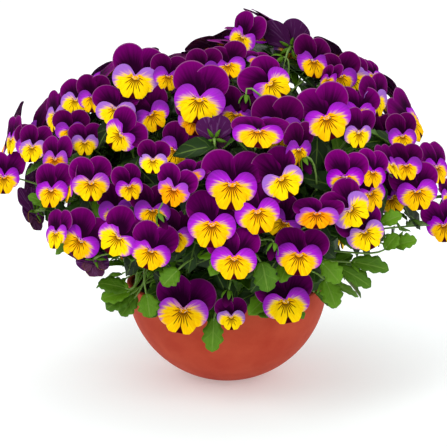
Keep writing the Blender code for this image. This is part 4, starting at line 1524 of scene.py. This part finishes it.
def sheet(form: tuple, thick: Points | float, across: Points, along: Points, chance: float) -> tuple:
    """Closes a grid of points into one thin solid.

    Args:
        form: The x, y and z of its front, each as (rows, columns).
        thick: How far its back lies below its front.
        across: Where each column is, from one edge to the other.
        along: Where each row is, from base to tip.
        chance: A number of its own, from -1 to 1.

    Returns:
        Points, the front's before the back's, faces of four corners, 1 for each point that lies
        behind, and for each point three numbers: across, along and chance.
    """
    x, y, z = form
    rows, columns = x.shape
    n = rows * columns
    grid = np.arange(n).reshape(rows, columns)
    face = np.stack([grid[:-1, :-1], grid[1:, :-1], grid[1:, 1:], grid[:-1, 1:]], -1).reshape(-1, 4)
    border = np.concatenate([grid[0], grid[1:, -1], grid[-1, -2::-1], grid[-2:0:-1, 0]])
    after = np.roll(border, -1)
    side = np.column_stack([border, after, after + n, border + n])
    both = [np.dstack([x, y, height]).reshape(-1, 3) for height in (z, z - thick)]
    behind = np.repeat([0.0, 1.0], n)
    places = [np.tile((values + np.zeros((rows, columns))).ravel(), 2) for values in (across, along)]
    reach = np.column_stack([*places, np.full(2 * n, chance * CHANCES)])
    return np.concatenate(both), np.concatenate([face, face[:, ::-1] + n, side]), behind, reach


def ringed(made: Points) -> tuple[Points, Points]:
    """Joins rings of points into a tube.

    Args:
        made: The rings, as (rings, sides, 3).

    Returns:
        Points, the rings' before the middles of the first and the last, and faces of three corners.
    """
    count, sides = made.shape[:2]
    grid = np.arange(count * sides).reshape(count, sides)
    ahead = np.roll(grid, -1, axis=1)
    first, last = np.full((2, 1, sides), [[[count * sides]], [[count * sides + 1]]])
    corners = (
        (grid[:-1], ahead[:-1], ahead[1:]),
        (grid[:-1], ahead[1:], grid[1:]),
        (ahead[:1], grid[:1], first),
        (grid[-1:], ahead[-1:], last),
    )
    faces = np.concatenate([np.stack(three, -1).reshape(-1, 3) for three in corners])
    return np.vstack([made.reshape(-1, 3), made[[0, -1]].mean(axis=1)]), faces


@dataclass
class Maker:
    """Adds parts to a mesh and draws their chances from one generator."""

    weave: Weave
    random: np.random.Generator


class BloomMaker(Maker):
    """The fine form of a bloom, in mm on a bloom 40 mm wide, on the planes that the frame has."""

    GRID = {2: (8, 16), 3: (12, 24), 5: (12, 24)}
    THICK = 0.4
    HAIRS = 6
    SMALLEST = 0.93
    TURN = 0.14
    # The arc of an outer edge, and the two ends of the claw that it grows from.
    EDGES = {
        Finish.UPPER: (((9.4, 14.6), (13.8, 13.8), -42, 205), ((2.2, -2.0), (-0.8, -2.4))),
        Finish.SIDE: (((10.4, -0.2), (9.0, 10.6), -118, 128), ((-0.4, -2.4), (-0.4, 2.2))),
    }
    # How far the lip reaches from its claw, by degrees from straight down, the same on both sides.
    LIP_ANGLES = (0, 8, 22, 40, 60, 80, 100)
    LIP_REACH = (19.6, 20.8, 21.4, 18.0, 13.0, 8.6, 4.5)
    LIP_CLAW = ((-1.4, 3.4), (1.4, 3.4))
    # How far a petal domes, how much its edge curls by chance and always, and how far it ruffles.
    FORM = {
        Finish.UPPER: (3.0, 1.6, -0.9, 1.0),
        Finish.SIDE: (2.4, 1.4, -0.7, 0.8),
        Finish.LIP: (3.2, 1.2, -1.5, 0.7),
    }
    FOLD = 0.9
    FOLD_WIDTH = 2
    # How far the long and short waves of an edge rise, by chance too, and how close they are.
    LONG_WAVE, BY_CHANCE, LONG_STEP = 0.55, 0.35, 5.5
    SHORT_WAVE, SHORT_STEP = 0.3, 11
    LIP_TURN = 0.4
    THICK_BASE, THINNING = 1.1, 0.6
    SPUR = ((0, -1.5, -0.6), (0, -2.2, -2.4), (0, -2.4, -4.4), (0, -2.0, -5.6), (0, -1.7, -6.0))
    SPUR_RADII = (1.5, 1.3, 1.2, 0.8, 0.1)

    def rim(self, kind: Finish, right: bool, n: int) -> tuple[Points, Points]:
        """The outer edge of a petal and the narrow claw that it grows from.

        Args:
            kind: Which petal.
            right: Whether it is the one on the viewer's right.
            n: How many points each has.

        Returns:
            Points of the edge and of the claw.
        """
        if kind is Finish.LIP:
            angles = np.linspace(-self.LIP_ANGLES[-1], self.LIP_ANGLES[-1], n)
            reach = np.interp(np.abs(angles), self.LIP_ANGLES, self.LIP_REACH)
            angles, claw = np.radians(angles), self.LIP_CLAW
            edge = np.column_stack([reach * np.sin(angles), claw[0][1] - reach * np.cos(angles)])
        else:
            bend, claw = self.EDGES[kind]
            edge = arc(*bend, n)
        if not right:
            edge, claw = mirrored(edge), mirrored(claw)
        share = np.linspace(0, 1, n)[:, None]
        claw = np.array(claw, float)
        return np.array(edge), claw[0] * (1 - share) + claw[1] * share

    def petal(self, bloom: Bloom, kind: Finish, right: bool) -> None:
        """Adds one petal: a thin domed sheet, wavy towards its edge.

        Args:
            bloom: The bloom that it belongs to.
            kind: Which petal.
            right: Whether it is the one on the viewer's right.
        """
        draw = self.random.uniform
        rows, columns = self.GRID[bloom.blades]
        edge, claw = self.rim(kind, right, columns)
        t = np.append(np.linspace(0, 1, rows - 1) ** 0.8 * 0.97, 1.0)[:, None]
        flat = claw + t[..., None] * (edge - claw) * draw(self.SMALLEST, 1, 2)
        middle = claw.mean(axis=0)
        turn = draw(-self.TURN, self.TURN) * (self.LIP_TURN if kind is Finish.LIP else 1)
        spin = np.array([[math.cos(turn), math.sin(turn)], [-math.sin(turn), math.cos(turn)]])
        flat = middle + (flat - middle) @ spin
        x, y = flat[..., 0], flat[..., 1]
        s = np.linspace(-1, 1, columns)
        phase, phase_2, wave, curl = draw(-1, 1, 4)
        ruffle = (self.LONG_WAVE + self.BY_CHANCE * wave) * np.sin(self.LONG_STEP * s + 3 * phase)
        ruffle = ruffle + self.SHORT_WAVE * np.sin(self.SHORT_STEP * s + 6 * phase_2)
        lift, slope_x, slope_y = bloom.planes[kind]
        dome, by_chance, always, ruffled = self.FORM[kind]
        z = slope_x * np.abs(x) + slope_y * y + dome * t * (1 - t) + ruffled * ruffle * t**3
        if kind is Finish.LIP:
            curled = t**4
            z = z - self.FOLD * np.exp(-((x / self.FOLD_WIDTH) ** 2)) * t
        else:
            curled = t**3 * (1 - s**2)
        if kind is Finish.UPPER:
            lift = lift - (bloom.UPPER_STEP if right else 0)
            z = z - (self.FOLD + wave) * s**2 * t**2
        if kind is Finish.SIDE and not right:
            lift = lift + bloom.SIDE_STEP
        z = z + (by_chance * curl + always) * curled + lift / MM / bloom.size
        thick = self.THICK * (self.THICK_BASE - self.THINNING * t)
        points, faces, behind, reach = sheet((x, y, z), thick, s, t, phase)
        self.add(bloom, kind, points, faces, behind, reach)

    def add(
        self, bloom: Bloom, kind: Finish, points: Points, faces: Points, behind: Points, reach: Points
    ) -> None:
        """Adds a part in the bloom's own mm.

        Args:
            bloom: The bloom.
            kind: The part's finish.
            points: Its points.
            faces: Its faces.
            behind: 1 for each point that lies behind.
            reach: For each point, across, along and chance.
        """
        place = np.column_stack([points[:, :2], behind])
        self.weave.add(kind, bloom.place(points * MM * bloom.size), faces, place, reach, bloom.tone.value)

    def beard(self, bloom: Bloom) -> None:
        """Adds the two tufts of hairs at the throat."""
        draw = self.random.uniform
        along = np.append(np.repeat([0.0, 1.0], 4), [0.0, 1.0])
        reach = np.column_stack([0 * along, along, 0 * along])
        for side in (-1, 1):
            for _ in range(self.HAIRS):
                root = np.array([side * draw(1.0, 3.4), draw(0.2, 2.4), 1.0])
                tip = root + [-side * draw(0.2, 1.6), draw(-1.4, 0.6), draw(1.0, 2.0)]
                points, faces = ringed(rings(np.array([root, tip]), np.array([0.28, 0.06]), 4))
                self.add(bloom, Finish.BEARD, points, faces, 0 * along, reach)

    def bloom(self, bloom: Bloom) -> None:
        """Adds a whole bloom, with the short blunt spur behind its lip."""
        for kind in (Finish.UPPER, Finish.SIDE):
            self.petal(bloom, kind, True)
            self.petal(bloom, kind, False)
        self.petal(bloom, Finish.LIP, True)
        self.beard(bloom)
        points, faces = ringed(rings(np.array(self.SPUR), np.array(self.SPUR_RADII), 8))
        self.add(bloom, Finish.UPPER, points, faces, np.ones(len(points)), 0.6)


class GreenMaker(Maker):
    """The fine form of stems, stalks, sepals, buds and leaves."""

    STEM_SIDES = 9
    STALK_SIDES = 6
    STALK_RADIUS = 0.75 * MM
    TEETH = 3.7
    TOOTH_DEPTH = 0.36
    FOLD, FOLD_BY_CHANCE = 0.1, 0.35
    DROOP, DROOP_BY_CHANCE = 0.1, 0.2
    WAVE = 0.06
    WITH_STIPULES = 0.6
    BUD_SIDES = 12
    THICK = 0.4 * MM

    def line(self, points: Points, radii: Points, sides: int, leave: Points | None = None) -> None:
        """Adds a stem or stalk. The arguments are those of rings."""
        made, faces = ringed(rings(points, radii, sides, leave))
        share = np.repeat(np.linspace(0, 1, len(points)), sides)
        reach = np.column_stack([np.tile(np.arange(sides) / sides, len(points)), share * 6, share * 0])
        self.weave.add(Finish.STALK, made, faces, reach=np.vstack([reach, reach[[0, -1]]]))

    def stalk(self, stalk: Stalk) -> None:
        """Adds a flower stalk or petiole."""
        points = curve(*stalk.bends, 13)
        radii = np.full(13, self.STALK_RADIUS)
        radii[:2] = (stalk.end_radius, stalk.end_radius * 0.7)
        self.line(points, radii, self.STALK_SIDES, stalk.leave)

    def blade(
        self, base: Points, tip: Points, width_mm: float, facing: Points, age: float, rows: int
    ) -> None:
        """Adds a narrow blade without teeth, such as a sepal. The arguments are those of Leaf."""
        self.leaf(Leaf(base, tip, width_mm * MM, facing, age, rows, False))

    def sepals(self, stalk: Stalk) -> None:
        """Adds the five pointed sepals where a flower stalk meets its bloom."""
        draw, facing = self.random.uniform, -stalk.leave
        first = unit(np.cross(facing, [0.3, 0.5, 0.8]))
        for k in range(5):
            out = turned(first, facing, k * math.tau / 5 + draw(-0.2, 0.2))
            base = stalk.bends[0] + stalk.leave * 0.6 * MM + out * 1.0 * MM
            tip = base + out * draw(7, 9) * MM - facing * draw(0.5, 3) * MM
            self.blade(base, tip, 2.8, -facing, 0.35, 6)

    def stipules(self, leaf: Leaf) -> None:
        """Adds two narrow light stipules at the foot of a leaf."""
        along = unit(leaf.tip - leaf.base)
        for side in (-1, 1):
            way = turned(along, leaf.normal, side * self.random.uniform(0.5, 1.0))
            tip = leaf.base + way * self.random.uniform(8, 13) * MM
            self.blade(leaf.base, tip, 3.5, leaf.normal, 0.1, 5)

    def bud(self, base: Points, axis: Points, stalk: Stalk) -> None:
        """Adds a closed bud: its stalk, its rolled dark petals, and five sepals pressed to them.

        Args:
            base: Where it starts.
            axis: The unit vector that it points along.
            stalk: Its stalk.
        """
        self.stalk(stalk)
        share = np.linspace(0, 1, 11)
        line = base + axis * share[:, None] * Planting.bud_length
        radii = max(Planting.bud_radii) * np.sin(np.pi * (0.08 + 0.88 * share)) ** 0.7
        made = rings(line, radii, self.BUD_SIDES)
        roll = 3 * np.arange(self.BUD_SIDES) * math.tau / self.BUD_SIDES + 5 * share[:, None]
        made = line[:, None] + (made - line[:, None]) * (0.95 + 0.07 * np.sin(roll))[..., None]
        points, faces = ringed(made)
        along = np.append(np.repeat(share, self.BUD_SIDES), [0, 1])
        reach = np.column_stack([0 * along, 0.3 + 0.5 * along, 0 * along])
        # The bud takes the darkest tone: partly its own dark purple and partly painted shade.
        self.weave.add(Finish.UPPER, points, faces, reach=reach, mood=Tone.DUSKY.value)
        draw = self.random.uniform
        first = unit(np.cross(axis, [0.3, 0.5, 0.8]))
        for k in range(5):
            out = turned(first, axis, k * math.tau / 5)
            tip = base + axis * draw(7, 9) * MM + out * draw(4, 5) * MM
            self.blade(base + out * 1.2 * MM, tip, 3.4, out, 0.3, 7)

    def leaf(self, leaf: Leaf) -> None:
        """Adds a leaf blade: folded along its rib, drooping, with round teeth."""
        length, axes = leaf.length, leaf.axes
        v = np.linspace(0, 1, leaf.rows)[:, None]
        u = np.linspace(1, -1, 5 if leaf.toothed else 3)
        if leaf.toothed:
            lobes = np.abs(np.sin(np.pi * self.TEETH * v + 0.3)) - 0.6
            half = 0.5 * np.sin(np.pi * v**1.15) ** 0.6 * (1 + self.TOOTH_DEPTH * lobes) + 0.03
        else:
            half = 0.45 * np.sin(np.pi * v**0.75) ** 0.75 + 0.03
        fold, droop, wave, phase = self.random.uniform(0, 1, 4)
        x = u * half * leaf.width
        y = v * length + 0 * u
        z = (self.FOLD + self.FOLD_BY_CHANCE * fold) * np.abs(x)
        z = z + length * (self.DROOP + self.DROOP_BY_CHANCE * droop) * v * (1 - v)
        z = z + self.WAVE * leaf.width * wave * np.sin(9 * v + 7 * phase) * u**2
        points, faces, behind, reach = sheet((x, y, z), self.THICK, u, v, phase)
        none = 0 * behind
        # The third value is painted shade: how far the leaf's age runs past 1.
        mood = np.column_stack([none + leaf.age, behind, none + max(leaf.age - 1, 0), none])
        self.weave.add(Finish.LEAF, leaf.base + points @ axes.T, faces, reach=reach, mood=mood)

    def shoot(self, shoot: Shoot) -> None:
        """Adds a whole shoot."""
        foot, *bends = shoot.bends
        stem = np.vstack([foot, curve(*bends, 18)])
        self.line(stem, np.linspace(1, 0.6, len(stem)) * Planting.stem_radius, self.STEM_SIDES)
        for stalk in shoot.stalks:
            self.stalk(stalk)
            self.sepals(stalk)
        for petiole in shoot.petioles:
            self.stalk(petiole)
        for bud in shoot.buds:
            self.bud(*bud)
        for leaf in shoot.leaves:
            self.leaf(leaf)
            if leaf.toothed and self.random.random() < self.WITH_STIPULES:
                self.stipules(leaf)


class Foliage:
    """Leaves beyond those of the frame: on the stems, low on the flower stalks and over the rim."""

    PER_STEM = 20
    PER_STALK = 4
    IN_SHADE = 6
    AT_RIM = 170
    HANGING = 8
    TRIES = 6
    RIM_TRIES = 8
    SHADE_TRIES = 4
    ROWS = 10
    LENGTH = 26 * MM
    WIDTH = 12 * MM
    SHADE_LENGTH = 30 * MM
    SHADE_WIDTH = 17 * MM

    def __init__(self, planting: Planting) -> None:
        """Takes the room of the planting's blooms."""
        self.shoots, self.blooms = planting.shoots, Room()
        self.random = np.random.default_rng(23)
        for bloom in planting.blooms:
            self.blooms.add(0, *bloom.plain())

    def grow(self) -> None:
        """Gives every shoot its further leaves, where no bloom is in the way."""
        random = self.random
        for shoot in self.shoots:
            for leaf in shoot.leaves:
                leaf.age = random.uniform(0.0, 0.6)
            for node in [shoot.point(random.uniform(-0.5, 1)) for _ in range(self.PER_STEM)]:
                self.leaf_at(shoot, node)
            for stalk in shoot.stalks:
                line = curve(*stalk.bends, 21)
                for k in random.integers(6, 19, self.PER_STALK):
                    self.leaf_at(shoot, line[k])
                for k in random.integers(3, 17, self.IN_SHADE):
                    self.shade_leaf(shoot, line[k])
        for k in range(self.AT_RIM):
            self.rim_leaf(k)

    def fits(self, leaf: Leaf) -> bool:
        """Whether a leaf is clear of the blooms."""
        return not self.blooms.touched(*leaf.plain())

    def small_leaf(self, base: Points, way: Points, facing: Points, size: float, oldest: float) -> Leaf:
        """A toothed leaf of the usual form.

        Args:
            base: Where it is attached.
            way: The unit vector that it grows along.
            facing: What it faces.
            size: Its size, 1 for the usual.
            oldest: The most that its age may be.

        Returns:
            The leaf.
        """
        tip = base + way * self.LENGTH * size
        return Leaf(base, tip, self.WIDTH * size, unit(facing), self.random.uniform(0, oldest), self.ROWS)

    def leaf_at(self, shoot: Shoot, node: Points) -> None:
        """Tries a few directions for a leaf of a shoot, at a node."""
        outward = unit(node - [0, 0, 70 * MM])
        for _ in range(self.TRIES):
            way = unit(outward * 0.7 + self.random.uniform(-1, 1, 3))
            leaf = self.small_leaf(node, way, outward + [0, 0, 0.8], self.random.uniform(0.6, 1.15), 1)
            if leaf.tip[2] > VIEW.rim_height - 20 * MM and self.fits(leaf):
                shoot.leaves.append(leaf)
                return

    def shade_leaf(self, shoot: Shoot, node: Points) -> None:
        """Tries a broad leaf of a shoot under the blooms, at a node, dark with painted shade."""
        draw = self.random.uniform
        outward = unit(node - [0, 0, 90 * MM])
        for _ in range(self.SHADE_TRIES):
            way = np.cross(outward, unit(draw(-1, 1, 3))) - 0.2 * outward
            tip = node + unit(way) * self.SHADE_LENGTH * draw(0.7, 1.1)
            # An age of 1.4 to 2 gives it painted shade, near black.
            leaf = Leaf(node, tip, self.SHADE_WIDTH, outward, draw(1.4, 2), 6, False)
            if tip[2] > VIEW.rim_height + 5 * MM and MOUND.depth(tip) < 0.92 and self.fits(leaf):
                shoot.leaves.append(leaf)
                return

    def rim_leaf(self, k: int) -> None:
        """Tries a leaf that comes up inside the bowl and leans out, every few of them over the rim."""
        draw = self.random.uniform
        outward = np.array([math.cos(k * GOLDEN_ANGLE), math.sin(k * GOLDEN_ANGLE), 0])
        hangs = k % self.HANGING == 0
        for _ in range(self.RIM_TRIES):
            far = draw(83, 90) if hangs else draw(48, 80)
            above = draw(5, 12) if hangs else draw(5, 44)
            base = (outward * far + [0, 0, above]) * MM + [0, 0, VIEW.rim_height]
            way = unit(outward + draw(-0.7, 0.7, 3) - [0, 0, 0.9 if hangs else 0])
            leaf = self.small_leaf(base, way, outward + [0, 0, 0.7], draw(0.7, 1.1), 0.9)
            if self.fits(leaf) and (hangs or leaf.tip[2] > VIEW.rim_height + 2 * MM):
                shoot = min(self.shoots, key=lambda s: np.linalg.norm(s.stem[2] - base))
                near, foot = base - outward * 14 * MM + [0, 0, 6 * MM], shoot.stem[2]
                bends = (base, near, foot + [0, 0, 12 * MM], foot)
                shoot.petioles.append(Stalk(bends, unit(near - base), 0.7 * MM))
                shoot.leaves.append(leaf)
                return


@dataclass(frozen=True)
class Bowl:
    """The clay bowl and the soil in it."""

    radius: float = 80 * MM
    wall: float = 4.5 * MM
    lip_round: float = 1.2 * MM
    around: int = 160

    def turn(self, weave: Weave, finish: Finish, profile: Points) -> None:
        """Adds a turned solid.

        Args:
            weave: Where it goes.
            finish: Its finish.
            profile: Radius and height of its section, down its outer side, both ends off the axis.
        """
        angles = np.arange(self.around) * math.tau / self.around
        around = np.stack([np.cos(angles), np.sin(angles)], -1)
        height = np.broadcast_to(profile[:, None, 1:], (len(profile), self.around, 1))
        points, faces = ringed(np.concatenate([profile[:, None, :1] * around, height], -1))
        weave.add(finish, points, faces[:, ::-1])

    def sphere(self, radius: float, top: float, bottom: float, count: int) -> Points:
        """Radius and height of points down a sphere about the rim's middle.

        Args:
            radius: The sphere's radius.
            top: The first point's angle below level.
            bottom: The last point's.
            count: How many points.

        Returns:
            The points.
        """
        a = np.linspace(top, bottom, count)
        return np.column_stack([radius * np.cos(a), VIEW.rim_height - radius * np.sin(a)])

    def inside(self, gap: float, count: int) -> Points:
        """Points down the inner wall, this far in from it, from the soil's edge to the floor."""
        radius = self.radius - self.wall
        top = math.asin(Planting.soil_below_rim / radius)
        return self.sphere(radius - gap, top, math.asin((VIEW.rim_height - self.wall) / radius), count)

    def bowl(self) -> Weave:
        """The bowl: a plain hemisphere with a rounded lip and a small flat foot."""
        weave = Weave("fired_bowl", (Finish.CLAY,))
        middle = (self.radius - self.wall / 2, VIEW.rim_height)
        lip = arc(middle, (self.wall / 2, self.lip_round), 180, 0, 13)
        outer = self.sphere(self.radius, 0, math.asin(VIEW.rim_height / self.radius), 60)[1:]
        self.turn(weave, Finish.CLAY, np.vstack([self.inside(0, 40)[::-1], lip, outer]))
        return weave

    def soil(self, planting: Planting) -> Weave:
        """The soil: a low crumbly dome that fills the bowl."""
        weave = Weave("crumbly_soil", (Finish.SOIL,))
        wall = self.inside(0.3 * MM, 12)
        edge = wall[0][0]
        top = np.array([(edge * s, planting.soil_top(edge * s)) for s in np.linspace(0.02, 0.985, 49)])
        self.turn(weave, Finish.SOIL, np.vstack([top, wall]))
        body = weave.points[0]
        radius = np.hypot(body[:, 0], body[:, 1])
        crumb = np.random.default_rng(2).uniform(-1.2, 0.9, len(body)) * MM
        on_top = (body[:, 2] > VIEW.rim_height - 9.5 * MM) & (radius < edge * 0.97)
        body[:, 2] += np.where(on_top, crumb, 0)
        return weave


def studio() -> None:
    """A plain white floor that glows a little, a bright surround and three large soft lights."""
    bpy.ops.mesh.primitive_plane_add(size=30)
    floor = bpy.context.object
    floor.name = "white_floor"
    white = (1, 1, 1, 1)
    paint = Paint(
        "matte_paper", Roughness=0.9, Specular_IOR_Level=0.1, Emission_Color=white, Emission_Strength=0.3
    )
    mottle = paint.add("TexNoise", {"Vector": paint.add("TexCoord", out="Object"), "Scale": 3.0})
    floor.data.materials.append(paint.finish(paint.add("Mix", {0: mottle, 6: "#DFE4E4", 7: "#E5EAEA"})))
    floor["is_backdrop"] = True
    world = bpy.data.worlds.new("soft_surround")
    world.use_nodes = True
    surround = world.node_tree.nodes["Background"]
    surround.inputs["Color"].default_value = white
    surround.inputs["Strength"].default_value = 0.95
    bpy.context.scene.world = world
    for name, place, power, size in (
        ("key_light", (-0.9, -1.6, 1.9), 20.0, 1.0),
        ("fill_light", (1.3, -1.2, 1.2), 4.0, 1.4),
        ("back_light", (0.3, 1.6, 1.6), 6.0, 1.2),
    ):
        data = bpy.data.lights.new(name, "AREA")
        data.energy = power
        data.size = size
        light = bpy.data.objects.new(name, data)
        light.location = place
        x, y, z = np.array([0, 0, 0.15]) - place
        light.rotation_euler = (math.atan2(math.hypot(x, y), -z), 0, math.atan2(-x, y))
        bpy.context.scene.collection.objects.link(light)
    bpy.context.scene.view_settings.view_transform = "Standard"


def dress(weave: Weave, node: str, materials: dict[Finish, bpy.types.Material]) -> None:
    """Builds a piece and ties it to the frame.

    Args:
        weave: Its mesh.
        node: The node that it stands for.
        materials: The material of each finish.
    """
    made = weave.build(materials)
    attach(made, BODY)
    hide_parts(node)
    log.info("%s: %d faces", made.name, len(made.data.polygons))


def main() -> None:
    """Builds every piece round the frame."""
    logging.basicConfig(level=logging.INFO, format="%(message)s")
    VIEW.camera()
    studio()
    materials = {finish: finish.value.make() for finish in Finish}
    planting = Planting()
    planting.plant()
    log.info("planted %d blooms in %d clusters", len(planting.blooms), len(planting.clusters))
    Foliage(planting).grow()
    bowl = Bowl()
    dress(bowl.bowl(), "clay_bowl", materials)
    dress(bowl.soil(planting), "potting_soil", materials)
    random = np.random.default_rng(41)
    for number, cluster in enumerate(planting.clusters, 1):
        weave = Weave(f"petals_{number:02d}", (Finish.UPPER, Finish.SIDE, Finish.LIP, Finish.BEARD))
        for bloom in cluster:
            BloomMaker(weave, random).bloom(bloom)
        dress(weave, f"blooms_{number:02d}", materials)
    for shoot in planting.shoots:
        weave = Weave(f"green_{shoot.name}", (Finish.LEAF, Finish.STALK, Finish.UPPER))
        GreenMaker(weave, random).shoot(shoot)
        dress(weave, shoot.name, materials)
    boxes = (("cad", cad_box), ("visual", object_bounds()))
    sizes = {name: [list(corner) for corner in box] for name, box in boxes}


if __name__ == "__main__":
    main()
